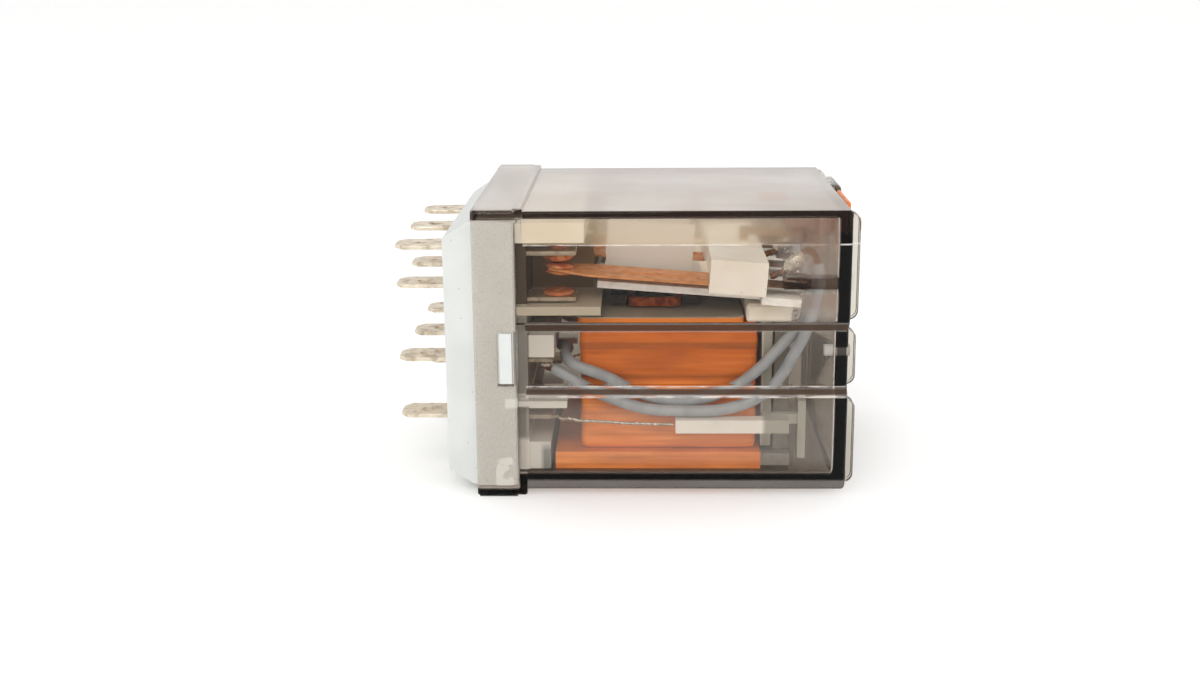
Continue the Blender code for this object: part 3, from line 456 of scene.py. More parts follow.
def cover_tint(finish, masks, crossings):
    """The plastic's colour, white, with painted shade laid on it: dark on the top, floor and end edges
    and on the ledges, where thick plastic seen edge-on lets little light through, darker on the
    underside, on the bars that guide the leads and on walls seen through other walls, and a beige tint on
    the lips.
    """
    # Painted shade on walls that are seen through other walls
    far_wall_shade = finish.span(crossings, 0.0, 1.0, 1.4, 1.6)
    return finish.layered(
        WHITE,
        (far_wall_shade, (0.36, 0.32, 0.27)),
        # Painted shade: dark on the top edge, ledges, floor edge and end edge, where thick plastic seen
        # edge-on lets little light through, and darker on the underside
        (masks.top_edge_shade, (0.06, 0.035, 0.03)),
        (masks.ledge_shade, (0.09, 0.065, 0.05)),
        (masks.floor_edge_shade, (0.03, 0.025, 0.025)),
        (masks.underside_shade, (0.36, 0.31, 0.31)),
        (masks.end_edge_shade, (0.05, 0.042, 0.04)),
        (masks.lips, (0.82, 0.79, 0.72)),
        # Painted shade on the bars that guide the leads
        (masks.lead_guide, (0.20, 0.13, 0.10)),
    )


def smoked_finish():
    """Smoked clear plastic. Its smoke grows with the length of wall that is looked through.

    Painted shade on its edges, ledges, underside and lead guides, painted highlights on its ridges, a
    painted reflection on its top, and its worn collar are laid over it by place, as the plastic's shape
    alone doesn't show them; walls seen through other walls get painted shade too. It lets light and
    shadows through, so that the inside stays lit.
    """
    finish = Finish("smoked_clear", WHITE, 0.02)
    finish.set("Transmission Weight", 1.0)
    finish.set("IOR", 1.43)
    finish.set("Specular Tint", (0.35, 0.35, 0.35, 1.0))
    masks = CoverMasks(finish)
    rays = finish.tree.nodes.new("ShaderNodeLightPath").outputs
    scuffs = finish.span(finish.noise(0.9, (6.0, 1.0, 1.0), 6.0, 0.4), 0.012, 0.06, 0.45, 0.8)
    side_blur = finish.largest(finish.product(masks.over_leads, 0.22), finish.product(masks.slope, 0.2))
    blur = finish.total(scuffs, finish.product(masks.top, 0.16), side_blur)
    finish.link(blur, finish.shader.inputs["Roughness"])
    finish.colour(cover_tint(finish, masks, rays["Transmission Depth"]))
    veil, haze_and_painted_light = cover_veil(finish, masks)
    hazed = finish.tree.nodes.new("ShaderNodeMixShader")
    finish.link(haze_and_painted_light, hazed.inputs["Fac"])
    finish.link(finish.shader.outputs["BSDF"], hazed.inputs[1])
    finish.link(veil, hazed.inputs[2])
    clear = finish.tree.nodes.new("ShaderNodeBsdfTransparent")
    mix = finish.tree.nodes.new("ShaderNodeMixShader")
    finish.link(finish.largest(rays["Is Shadow Ray"], rays["Is Diffuse Ray"]), mix.inputs["Fac"])
    finish.link(hazed.outputs["Shader"], mix.inputs[1])
    finish.link(clear.outputs["BSDF"], mix.inputs[2])
    smoke = finish.tree.nodes.new("ShaderNodeVolumeAbsorption")
    smoke.inputs["Color"].default_value = (0.42, 0.33, 0.25, 1.0)
    smoke.inputs["Density"].default_value = 230.0
    output = finish.tree.nodes["Material Output"]
    finish.link(mix.outputs["Shader"], output.inputs["Surface"])
    finish.link(smoke.outputs["Volume"], output.inputs["Volume"])
    return finish


def moulded_finish(name, light, dark, roughness):
    """A plastic moulding: faint cloudiness, a fine eroded grain and a few dark specks."""
    finish = Finish(name, srgb(light), roughness)
    clouds = finish.steps(finish.noise(7.0, detail=4.0), (0.35, srgb(dark)), (0.62, srgb(light)))
    specks = finish.steps(finish.cells(1.6), (0.035, srgb("6B6156")), (0.06, WHITE))
    finish.colour(finish.mixed(0.55, clouds, specks, "MULTIPLY"))
    fine = finish.noise(0.12, detail=4.0)
    finish.rough(fine, roughness - 0.07, roughness + 0.1)
    finish.bump((fine, 0.006), (finish.noise(2.5), 0.01))
    finish.set("Subsurface Weight", 0.12)
    finish.set("Subsurface Radius", (0.0012, 0.001, 0.0008))
    finish.set("Subsurface Scale", 0.4)
    return finish


def rolled_metal_finish(name, light, dark, stain, roughness, along=(1.0, 1.0, 1.0), metallic=1.0):
    """Strip metal: rolling lines along it, tarnished blotches and fine scratches."""
    finish = Finish(name, srgb(light), roughness, metallic)
    lines = finish.noise(0.12, along, 5.0)
    tarnish = finish.noise(1.4, detail=6.0, distortion=0.6)
    ground = finish.steps(lines, (0.3, srgb(dark)), (0.7, srgb(light)))
    patches = finish.span(tarnish, 0.0, 0.75, 0.48, 0.72)
    finish.colour(finish.mixed(patches, ground, srgb(stain)))
    finish.rough(tarnish, roughness - 0.08, roughness + 0.22)
    finish.bump((lines, 0.006), (finish.noise(0.5, detail=5.0), 0.012))
    return finish


def tape_finish():
    """Glossy film tape over windings: bands along the wrap, and two darker lines across it."""
    finish = Finish("orange_tape", srgb("EE8420"), 0.35)
    streaks = finish.noise(0.30, (34.0, 34.0, 1.0), 5.0, 0.1)
    clouds = finish.noise(4.0, (2.2, 2.2, 0.6))
    thin = finish.steps(streaks, (0.3, srgb("E97F1A")), (0.55, srgb("F88F2A")), (0.75, srgb("FFA142")))
    shade = finish.steps(clouds, (0.35, (0.74, 0.68, 0.62)), (0.6, WHITE))
    film = finish.mixed(1.0, thin, shade, "MULTIPLY")
    deeper = finish.mixed(1.0, film, (0.76, 0.60, 0.36), "MULTIPLY")
    film = finish.mixed(finish.band("Z", -5.2, -4.6), film, deeper)
    # Two darker lines across the wrap
    dark_lines = finish.largest(finish.line("Z", -0.2, 0.35), finish.line("Z", -4.2, 0.2))
    dark_lines = finish.product(dark_lines, finish.span(finish.noise(3.0, (3.0, 3.0, 0.3)), 0.2, 0.75))
    finish.colour(finish.mixed(dark_lines, film, srgb("8E4A12")))
    finish.rough(streaks, 0.3, 0.5)
    finish.bump((streaks, 0.02), (finish.noise(1.2, (8.0, 8.0, 1.0)), 0.03))
    finish.set("Specular IOR Level", 0.35)
    return finish


def wire_finish():
    finish = Finish("lead_insulation", srgb("8F9396"), 0.42)
    finish.colour(finish.steps(finish.noise(1.6), (0.35, srgb("959A9D")), (0.65, srgb("A5A9AB"))))
    finish.rough(finish.noise(0.3), 0.3, 0.5)
    finish.bump((finish.noise(0.25, detail=4.0), 0.01))
    return finish


def bright_metal_finish(name, light, dark, roughness, size, depth, metallic=1.0):
    """Cast or plated metal with an uneven surface."""
    finish = Finish(name, srgb(light), roughness, metallic)
    field = finish.noise(size, detail=5.0, distortion=0.3)
    finish.colour(finish.steps(field, (0.35, srgb(dark)), (0.6, srgb(light))))
    finish.rough(finish.noise(size * 2), roughness - 0.07, roughness + 0.15)
    finish.bump((field, depth))
    return finish


def nylon_finish():
    """The insulating wall: its holder bars are white, and the wall behind the coil is painted greyer, as
    shade.
    """
    finish = moulded_finish("natural_nylon", "F8F4EA", "E9E5DA", 0.35)
    # Painted shade: the wall behind the coil is greyer
    wall = finish.band("X", 39.3, 39.9)
    finish.colour(finish.layered(finish.plain_colour(), (wall, srgb("A8A698"))))
    finish.set("Subsurface Weight", 0.4)
    return finish


def bobbin_finish():
    """The bobbin: the tape laps over its top flange's edge."""
    finish = moulded_finish("tan_bobbin", "A79C8A", "8E8372", 0.5)
    taped = finish.product(finish.band("Z", 3.5, 3.4), finish.band("Z", 2.2, 2.3))
    finish.colour(finish.layered(finish.plain_colour(), (taped, srgb("E8821F"))))
    return finish


def spring_finish():
    """Rolled copper alloy, browner where the hinge end was heated for soldering."""
    along = (9.0, 1.0, 1.0)
    finish = rolled_metal_finish("spring_copper", "F2AC70", "D48A4E", "B06A34", 0.36, along, 0.25)
    heated = finish.band("X", 38.8, 40.4)
    finish.colour(finish.layered(finish.plain_colour(), (heated, srgb("6E4A30"))))
    return finish


def block_finish():
    """The contact block: barriers and backing painted dark brown and a lower wall painted dark grey, as
    shade, a greyer lower part and shelf, and a painted shaded patch at its foot.
    """
    finish = moulded_finish("block_moulding", "F3ECDC", "E4D9C0", 0.5)
    low = finish.band("Z", 4.5, 4.4)
    # Painted shade on the lower wall
    low_wall_shade = finish.product(low, finish.band("X", 10.3, 10.2), finish.band("Z", -12.0, -11.4))
    low_wall_shade = finish.difference(low_wall_shade, finish.line("Z", -6.65, 0.4))
    shaded = finish.product(finish.band("Z", -12.2, -13.4), finish.band("X", 11.4, 12.0))
    shelf = finish.line("Z", 5.1, 0.7)
    # Painted shade on the barriers and the backing in the chambers between the poles
    barrier_shade = finish.product(finish.band("Z", 5.75, 5.85), finish.band("Z", 13.5, 13.4))
    backing_shade = finish.mixed(finish.band("X", 10.2, 10.3), srgb("4E3E26"), srgb("80643A"))
    colour = finish.layered(
        finish.plain_colour(),
        (low, srgb("DAD7CD")),
        (low_wall_shade, srgb("8E8B81")),
        (shaded, srgb("7F837F")),
        (shelf, srgb("BDB39D")),
        (barrier_shade, backing_shade),
    )
    finish.colour(colour)
    return finish


def carrier_finish():
    """The contact carrier, whose wings are a greyer white than its bar and whose arm is browner."""
    finish = moulded_finish("carrier_moulding", "FBF5E8", "F0E7D6", 0.5)
    wings = finish.band("X", 32.0, 31.5)
    arm = finish.product(finish.band("X", 35.5, 36.5), finish.band("Z", 11.6, 11.9))
    colour = finish.layered(finish.plain_colour(), (wings, srgb("D9D6CC")), (arm, srgb("A08A74")))
    finish.colour(colour)
    return finish


def button_finish():
    """Orange outside the cover, and a duller tan on the neck and stem inside it."""
    finish = moulded_finish("orange_button", "DF7D3C", "CC6526", 0.4)
    outside = finish.band("X", 49.8, 50.1)
    clouds = finish.noise(3.0, detail=4.0)
    orange = finish.steps(clouds, (0.35, srgb("C9631F")), (0.65, srgb("E3833F")))
    finish.colour(finish.mixed(outside, srgb("9C8474"), orange))
    return finish


# Each row: name, light and dark colours, then what its kind of finish asks for
MOULDINGS = (
    ("white_moulding", "CCCECB", "C4C6C3", 0.45),
    ("cream_moulding", "F6F0E2", "E9DFC9", 0.5),
)
ROLLED_METALS = (
    ("tinned_brass", "E9DECC", "C9BAA3", "9C8C74", 0.38, (9.0, 1.0, 1.0), 0.8),
    ("plated_steel", "E4E1D9", "CBC8BF", "B5B1A7", 0.42, (6.0, 1.0, 1.0), 0.35),
    ("armature_steel", "FFFDF6", "F0ECE2", "DDD8CC", 0.45, (6.0, 1.0, 1.0), 0.0),
    ("core_iron", "4E4741", "37312D", "2B2622", 0.45, (1.0, 1.0, 1.0), 0.5),
    ("yoke_steel", "B4AFA6", "A09B92", "97928A", 0.45, (1.0, 6.0, 1.0), 0.7),
    ("bare_strands", "B98454", "7A5030", "5E4630", 0.38),
)
BRIGHT_METALS = (
    ("solder", "FBF8EE", "B3A98C", 0.18, 0.24, 0.08, 0.7),
    ("copper", "E0763F", "A3431C", 0.35, 0.8, 0.01),
)


def make_finishes():
    finishes = {row[0]: moulded_finish(*row) for row in MOULDINGS}
    finishes.update({row[0]: rolled_metal_finish(*row) for row in ROLLED_METALS})
    finishes.update({row[0]: bright_metal_finish(*row) for row in BRIGHT_METALS})
    finishes.update(
        silver_contact=bright_metal_finish("contact_rivet", "F0A06A", "C8703C", 0.16, 0.9, 0.006, 0.6),
        smoked_polycarbonate=smoked_finish(),
        spring_copper=spring_finish(),
        grey_insulation=wire_finish(),
        orange_tape=tape_finish(),
        tan_bobbin=bobbin_finish(),
        nylon=nylon_finish(),
        orange_button=button_finish(),
        block_moulding=block_finish(),
        carrier_moulding=carrier_finish(),
    )
    return finishes


# -------- shapes


SMOOTH_ANGLE = math.radians(35)
TURNED_SMOOTH_ANGLE = math.radians(50)
SLAB_EDGE_STEPS = 3
BRICK_EDGE_STEPS = 2
CURVE_STEPS = 24
TURNED_STEPS = 32


def both_ways(half):
    return (-half, half)


def rounded(corners, steps=4):
    """A polygon's outline, with its (u, v, radius) corners turned into arcs."""
    outline = []
    points = [Vector((u, v)) for u, v, _ in corners]
    for i, (_, _, radius) in enumerate(corners):
        corner = points[i]
        before = (points[i - 1] - corner).normalized()
        after = (points[(i + 1) % len(points)] - corner).normalized()
        half = before.angle(after) / 2
        if radius <= 0 or half > math.pi / 2 - 0.01:
            outline.append(tuple(corner))
            continue
        centre = corner + (before + after).normalized() * radius / math.sin(half)
        start = corner + before * radius / math.tan(half) - centre
        end = corner + after * radius / math.tan(half) - centre
        sweep = start.angle_signed(end)
        for step in range(steps + 1):
            turn = Matrix.Rotation(-sweep * step / steps, 2)
            outline.append(tuple(centre + turn @ start))
    return outline


def rounded_box(u, v, radii, steps=4):
    places = ((u[0], v[0]), (u[1], v[0]), (u[1], v[1]), (u[0], v[1]))
    return rounded([(*place, radius) for place, radius in zip(places, radii)], steps)


def circle(centre, radius, count):
    turns = [2 * math.pi * k / count for k in range(count)]
    return [(centre[0] + radius * math.cos(t), centre[1] + radius * math.sin(t)) for t in turns]


FRAMES = {
    "X": Matrix(((0, 0, 1), (1, 0, 0), (0, 1, 0))),
    "Y": Matrix(((1, 0, 0), (0, 0, 1), (0, 1, 0))),
    "Z": Matrix.Identity(3),
}


def plain_object(name, bm, smooth=SMOOTH_ANGLE):
    bmesh.ops.recalc_face_normals(bm, faces=bm.faces)
    mesh = bpy.data.meshes.new(name)
    bm.to_mesh(mesh)
    bm.free()
    mesh.shade_smooth()
    mesh.set_sharp_from_angle(angle=smooth)
    obj = bpy.data.objects.new(name, mesh)
    bpy.context.scene.collection.objects.link(obj)
    return obj


def slab(name, axis, outline, limits, edge=0.0, ends=(True, True)):
    """An outline pushed between two limits on an axis, with its end faces' edges rounded."""
    frame_matrix = FRAMES[axis]
    bm = bmesh.new()
    rings = []
    for level in limits:
        rings.append([bm.verts.new(frame_matrix @ Vector((u, v, level)) * MM) for u, v in outline])
    caps = [bm.faces.new(ring) for ring in rings]
    count = len(outline)
    for i in range(count):
        j = (i + 1) % count
        bm.faces.new((rings[0][i], rings[0][j], rings[1][j], rings[1][i]))
    bmesh.ops.recalc_face_normals(bm, faces=bm.faces)
    if edge:
        edges = [e for cap, wanted in zip(caps, ends) if wanted for e in cap.edges]
        bmesh.ops.bevel(
            bm, geom=edges, offset=edge * MM, segments=SLAB_EDGE_STEPS, affect="EDGES", clamp_overlap=True
        )
    return plain_object(name, bm)


def lofted(name, rings):
    """A closed solid through rings that have the same number of points."""
    bm = bmesh.new()
    made = [[bm.verts.new(Vector(p) * MM) for p in ring] for ring in rings]
    for lower, upper in zip(made, made[1:]):
        for i in range(len(lower)):
            j = (i + 1) % len(lower)
            bm.faces.new((lower[i], lower[j], upper[j], upper[i]))
    bm.faces.new(made[0])
    bm.faces.new(made[-1])
    return plain_object(name, bm)


def brick(name, x, y, z, edge):
    """A box with rounded edges."""
    bm = bmesh.new()
    bmesh.ops.create_cube(bm, size=1.0)
    for vert in bm.verts:
        for axis, (low, high) in enumerate((x, y, z)):
            vert.co[axis] = (low if vert.co[axis] < 0 else high) * MM
    if edge:
        bmesh.ops.bevel(bm, geom=bm.edges[:], offset=edge * MM, segments=BRICK_EDGE_STEPS, affect="EDGES")
    return plain_object(name, bm)


def combined(target, operation, *tools):
    """The target with the tools joined to it or cut out of it, as one clean mesh."""
    for tool in tools:
        modifier = target.modifiers.new(tool.name, "BOOLEAN")
        modifier.operation = operation
        modifier.solver = "EXACT"
        modifier.object = tool
    graph = bpy.context.evaluated_depsgraph_get()
    mesh = bpy.data.meshes.new_from_object(target.evaluated_get(graph))
    target.modifiers.clear()
    target.data = mesh
    for tool in tools:
        bpy.data.objects.remove(tool)
    mesh.shade_smooth()
    mesh.set_sharp_from_angle(angle=SMOOTH_ANGLE)
    return target


def revolve(name, profile, place, flip=False):
    """A turned piece from (radius, height) points, standing or hanging at a place."""
    bm = bmesh.new()
    rings = []
    for radius, height in profile:
        level = place[2] + (-height if flip else height)
        outline = circle(place, radius, TURNED_STEPS) if radius > 0.001 else [place[:2]]
        rings.append([bm.verts.new(Vector((x, y, level)) * MM) for x, y in outline])
    for lower, upper in zip(rings, rings[1:]):
        for step in range(TURNED_STEPS):
            after = (step + 1) % TURNED_STEPS
            corners = [lower[step % len(lower)], lower[after % len(lower)]]
            corners += [upper[after % len(upper)], upper[step % len(upper)]]
            unique = list(dict.fromkeys(corners))
            if len(unique) > 2:
                bm.faces.new(unique)
    return plain_object(name, bm, TURNED_SMOOTH_ANGLE)


def finished(obj, finish_name, body, replaces=()):
    """The piece with its material, its body and the CAD nodes that it stands for."""
    obj.data.materials.clear()
    obj.data.materials.append(FINISH[finish_name].material)
    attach(obj, body)
    if replaces:
        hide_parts(*replaces)


def stretched(obj, slot, node_name):
    """A piece with its material and its place baked into its mesh, standing for a CAD node that it hides.
    """
    obj.data.materials.clear()
    obj.data.materials.append(FINISH[slot].material)
    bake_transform(obj)
    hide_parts(node_name)


def smooth_path(points, spacing):
    """Evenly spread points on a smooth curve through the given points."""
    route = [Vector(p) for p in points]
    route = [2 * route[0] - route[1], *route, 2 * route[-1] - route[-2]]
    fine = []
    for before, start, end, after in zip(route, route[1:], route[2:], route[3:]):
        for step in range(CURVE_STEPS):
            t = step / CURVE_STEPS
            linear = (end - before) * t
            square = (2 * before - 5 * start + 4 * end - after) * t * t
            cube = (3 * start - before - 3 * end + after) * t * t * t
            fine.append(0.5 * (2 * start + linear + square + cube))
    fine.append(route[-2])
    lengths = [0.0]
    for start, end in zip(fine, fine[1:]):
        lengths.append(lengths[-1] + (end - start).length)
    count = max(2, round(lengths[-1] / spacing))
    even = []
    index = 0
    for step in range(count + 1):
        wanted = lengths[-1] * step / count
        while index < len(fine) - 2 and lengths[index + 1] < wanted:
            index += 1
        share = (wanted - lengths[index]) / (lengths[index + 1] - lengths[index])
        even.append(fine[index].lerp(fine[index + 1], min(share, 1.0)))
    return even


def tube(name, points, radius, sides, radii=None):
    """A closed tube along points, whose radius may change from point to point."""
    bm = bmesh.new()
    points = [Vector(p) for p in points]
    normal = None
    rings = []
    for i, point in enumerate(points):
        ahead = points[min(i + 1, len(points) - 1)] - points[max(i - 1, 0)]
        ahead.normalize()
        if normal is None:
            normal = ahead.orthogonal().normalized()
        normal = (normal - ahead * normal.dot(ahead)).normalized()
        side = ahead.cross(normal)
        reach = radii[i] if radii else radius
        ring = []
        for k in range(sides):
            angle = 2 * math.pi * k / sides
            outward = normal * math.cos(angle) + side * math.sin(angle)
            ring.append(bm.verts.new((point + outward * reach) * MM))
        rings.append(ring)
    for lower, upper in zip(rings, rings[1:]):
        for k in range(sides):
            bm.faces.new((lower[k], lower[(k + 1) % sides], upper[(k + 1) % sides], upper[k]))
    bm.faces.new(reversed(rings[0]))
    bm.faces.new(rings[-1])
    return plain_object(name, bm, TURNED_SMOOTH_ANGLE)


# -------- cover


def case_outline(half_y, floor_z, top_z, lane_grow, radii):
    """The case's section, with a sunken lane on each side and a sloped band over it."""
    bottom, lane, top = radii
    low = LANE_Z[0] - lane_grow
    high = LANE_Z[1] + lane_grow
    side = [
        (half_y, floor_z, bottom),
        (half_y, low, lane),
        (half_y - LANE_DEPTH, low + 1.3, lane),
        (half_y - LANE_DEPTH, high - 1.0, lane),
        (half_y, high, lane),
        (half_y, SLOPE_FOOT, 0.12),
        (half_y - SLOPE_INSET, top_z, top),
    ]
    side += [(-y, z, r) for y, z, r in reversed(side)]
    return rounded(side)


def case_solid(name, start, end, walls, lane_grow, radii, end_radius):
    """The case's section run along X inside walls at its sides, bottom and top.

    Its far end is rounded.
    """
    rings = []
    steps = 4
    side, bottom, top = walls
    for step in range(-1, steps + 1):
        angle = max(step, 0) * math.pi / 2 / steps
        sink = end_radius * (1 - math.cos(angle))
        x = start if step < 0 else end - end_radius + end_radius * math.sin(angle)
        levels = (bottom + sink - CASE_HALF_Z, CASE_HALF_Z - top - sink)
        outline = case_outline(CASE_HALF_Y - side - sink, *levels, lane_grow + sink / 2, radii)
        rings.append([(x, y, z) for y, z in outline])
    return lofted(name, rings)


def make_cover():
    """The case with its collar, rails, lips, boss and openings, and the bars that guide the leads."""
    no_walls = (0.0, 0.0, 0.0)
    cover = case_solid("cover_shell", RIM_X + 0.1, CASE_END, no_walls, 0.0, (0.6, 0.2, 0.35), 0.5)
    collar_outline = rounded_box(both_ways(COLLAR_HALF_Y), COLLAR_Z, [0.7] * 4)
    tools = [slab("collar", "X", collar_outline, (RIM_X, COLLAR_END), 0.25)]
    top_rail = (SLOPE_FOOT + 0.05, COLLAR_Z[1])
    bottom_rail = (COLLAR_Z[0], UNDERSIDE_Z - 0.3)
    for name, z in (("top_rail", top_rail), ("bottom_rail", bottom_rail)):
        rail_outline = rounded_box(both_ways(CASE_HALF_Y - 0.05), z, [0.3] * 4)
        tools.append(slab(name, "X", rail_outline, (RIM_X + 1.0, RAIL_END), 0.15, (False, True)))
    for name, z, depth in (
        ("upper_lip", (4.1, 17.5), 0.0),
        ("middle_lip", (-4.4, 2.8), LANE_DEPTH),
        ("lower_lip", (-17.0, -5.9), 0.0),
    ):
        outline = rounded_box((IN_END_WALL, LIP_END), z, [0.3, 1.2, 1.2, 0.3], 6)
        near = LIP_Y[0] - depth
        far = LIP_Y[1] - depth
        tools.append(slab(f"{name}_front", "Y", outline, (-far, -near), 0.2))
        tools.append(slab(f"{name}_rear", "Y", outline, (near, far), 0.2))
    boss_outline = rounded_box((4.5, 15.0), (11.4, 17.1), [1.2] * 4, 6)
    tools.append(slab("boss", "X", boss_outline, (IN_END_WALL, BOSS_END), 0.25, (False, True)))
    combined(cover, "UNION", *tools)
    inner_walls = (WALL, WALL, TOP_WALL)
    cuts = [case_solid("cavity", RIM_X - 1.0, INNER_END, inner_walls, 0.1, (1.1, 0.25, 0.3), 0.4)]
    cavity_outline = rounded_box(both_ways(18.9), (-17.5, 16.7), [0.3] * 4)
    cuts.append(slab("collar_cavity", "X", cavity_outline, (RIM_X - 1.0, COLLAR_END)))
    cuts.append(brick("windows", (6.55, 8.62), both_ways(25.0), (-3.9, 3.0), 0.0))
    cuts.append(brick("button_slot", (46.0, 53.0), (-7.1, 2.3), (12.7, 15.9), 0.0))
    cuts.append(slab("vent", "X", circle((-14.6, -0.6), 0.9, 24), (46.0, 53.0)))
    combined(cover, "DIFFERENCE", *cuts)
    guides = []
    for side in (-1, 1):
        guide_y = sorted(side * y for y in GUIDE_Y)
        guides.append(brick("lead_guide", (GUIDE_START, IN_END_WALL), guide_y, GUIDE_Z, 0.15))
    combined(cover, "UNION", *guides)
    finished(cover, "smoked_polycarbonate", "frame", ["cover"])


# -------- pieces on the armature


HINGE = (42.0, 0.0, 5.35)
OPEN_ANGLE = math.radians(4.4)
ROWS = (-13.2, 0.0, 13.2)
CONTACT_X = 13.9
CONTACT_RADIUS = 2.0
# Kind, level of the strip that holds it, level of its face, and whether it hangs down
FIXED_CONTACTS = (("nc", 12.0, 10.6, True), ("no", 6.2, 7.25, False))
SPRING_LEVEL = 2.2
SPRING_THICKNESS = 0.3
# A corner is a distance along the spring from the hinge, a half width or level, and a radius
SPRING_SIDE = ((-29.6, 1.15, 0.9), (-24.5, 3.4, 2.0), (-2.8, 3.4, 0.3), (-2.2, 1.7, 0.3), (2.7, 1.7, 0.0))
LUG_FOLD = (
    (2.6, 2.05, 0.0),
    (3.1, 2.05, 0.4),
    (3.1, 3.5, 0.4),
    (0.0, 3.5, 0.1),
    (0.0, 3.22, 0.1),
    (2.82, 3.22, 0.15),
    (2.82, 2.35, 0.15),
    (2.6, 2.35, 0.0),
)
LUG_HALF_Y = 1.55
RIB_ALONG = (-20.5, -12.0)
RIB_HALF_Y = 0.55


def swung(obj):
    """A mesh made in the armature's own frame, put where the open armature holds it."""
    place = Matrix.Translation(Vector(HINGE) * MM) @ Matrix.Rotation(OPEN_ANGLE, 4, "Y")
    obj.data.transform(place)
    return obj


def make_springs():
    """Leaf springs with round ends, a pressed rib and a lug folded back over the hinge end."""
    corners = SPRING_SIDE + tuple((u, -v, r) for u, v, r in reversed(SPRING_SIDE))
    leaf_levels = (SPRING_LEVEL - SPRING_THICKNESS / 2, SPRING_LEVEL + SPRING_THICKNESS / 2)
    rib_levels = (SPRING_LEVEL + 0.1, SPRING_LEVEL + 0.27)
    for number, y in enumerate(ROWS, 1):
        outline = rounded([(u, y + v, r) for u, v, r in corners])
        spring = slab(f"leaf_spring_{number}", "Z", outline, leaf_levels, 0.05)
        fold = slab("fold", "Y", rounded(LUG_FOLD), (y - LUG_HALF_Y, y + LUG_HALF_Y), 0.04)
        rib_outline = rounded_box(RIB_ALONG, (y - RIB_HALF_Y, y + RIB_HALF_Y), [0.5] * 4)
        rib = slab("rib", "Z", rib_outline, rib_levels, 0.08, (False, True))
        combined(spring, "UNION", fold, rib)
        finished(swung(spring), "spring_copper", "armature", [f"contact_spring_{number}"])


def dome(radius, base, height, steps=8):
    """Profile points down a dome from its pole to its rim."""
    turns = [math.pi / 2 * i / steps for i in range(steps + 1)]
    return [(radius * math.sin(t), base + height * math.cos(t)) for t in turns]


def make_contacts():
    """Rivets with domed faces: one pair a pole on the frame, and a double one on each spring."""
    reach = (CONTACT_X - HINGE[0]) / math.cos(OPEN_ANGLE)
    radius = CONTACT_RADIUS * 0.9
    upper = dome(radius, 0.42, 0.38) + [(radius, 0.24), (radius - 0.06, 0.2), (0.72, 0.2)]
    profile = upper + [(r, -h) for r, h in reversed(upper)]
    for number, y in enumerate(ROWS, 1):
        piece = revolve(f"moving_rivet_{number}", profile, (reach, y, SPRING_LEVEL))
        finished(swung(piece), "silver_contact", "armature", [f"moving_contact_{number}"])
    for kind, strip_z, face_z, flip in FIXED_CONTACTS:
        height = abs(face_z - strip_z) - 0.3
        profile = dome(CONTACT_RADIUS, 0.3 + height * 0.35, height * 0.65)
        profile += [(CONTACT_RADIUS, 0.36), (CONTACT_RADIUS - 0.06, 0.3), (0.74, 0.3), (0.74, -0.3)]
        profile += [(1.08, -0.3), (1.0, -0.5), (0.7, -0.66), (0.0, -0.7)]
        for number, y in enumerate(ROWS, 1):
            piece = revolve(f"{kind}_rivet_{number}", profile, (CONTACT_X, y, strip_z), flip)
            finished(piece, "silver_contact", "frame", [f"{kind}_contact_{number}"])


LUMP = 0.16


def blob(name, centre, half_sizes, tilt, seed):
    """A lumpy drop of solder."""
    bm = bmesh.new()
    bmesh.ops.create_icosphere(bm, subdivisions=4, radius=1.0)
    for vert in bm.verts:
        direction = vert.co.normalized()
        lump = noise.fractal(direction * 2.2 + Vector((seed, 0.0, 0.0)), 0.7, 2.0, 4)
        vert.co = direction * (1.0 - LUMP / 2 + LUMP * lump)
        vert.co = Vector([value * half for value, half in zip(vert.co, half_sizes)])
    tilted = Matrix.Rotation(tilt, 4, "Y") @ Matrix.Scale(MM, 4)
    bmesh.ops.transform(bm, matrix=Matrix.Translation(Vector(centre) * MM) @ tilted, verts=bm.verts)
    return plain_object(name, bm, math.radians(60))


STRANDS = 6
STRAND_RADIUS = 0.15


def joined(name, objects):
    """Several closed meshes as one object."""
    bm = bmesh.new()
    for obj in objects:
        bm.from_mesh(obj.data)
        bpy.data.objects.remove(obj)
    return plain_object(name, bm, TURNED_SMOOTH_ANGLE)


def twisted(name, path, spread, turns):
    """Bare strands that twist round each other along a path."""
    points = smooth_path(path, 0.16)
    across = Vector((0.0, 1.0, 0.0))
    made = []
    for strand in range(STRANDS):
        line = []
        for i, point in enumerate(points):
            ahead = (points[min(i + 1, len(points) - 1)] - points[max(i - 1, 0)]).normalized()
            side = ahead.cross(across).normalized()
            share = i / (len(points) - 1)
            angle = 2 * math.pi * (strand / STRANDS + turns * share)
            reach = spread * (1.0 + 0.35 * math.sin(5.0 * strand + 3.0 * share))
            line.append(point + (side * math.cos(angle) + across * math.sin(angle)) * reach)
        made.append(tube("strand", line, STRAND_RADIUS, 7))
    return joined(name, made)


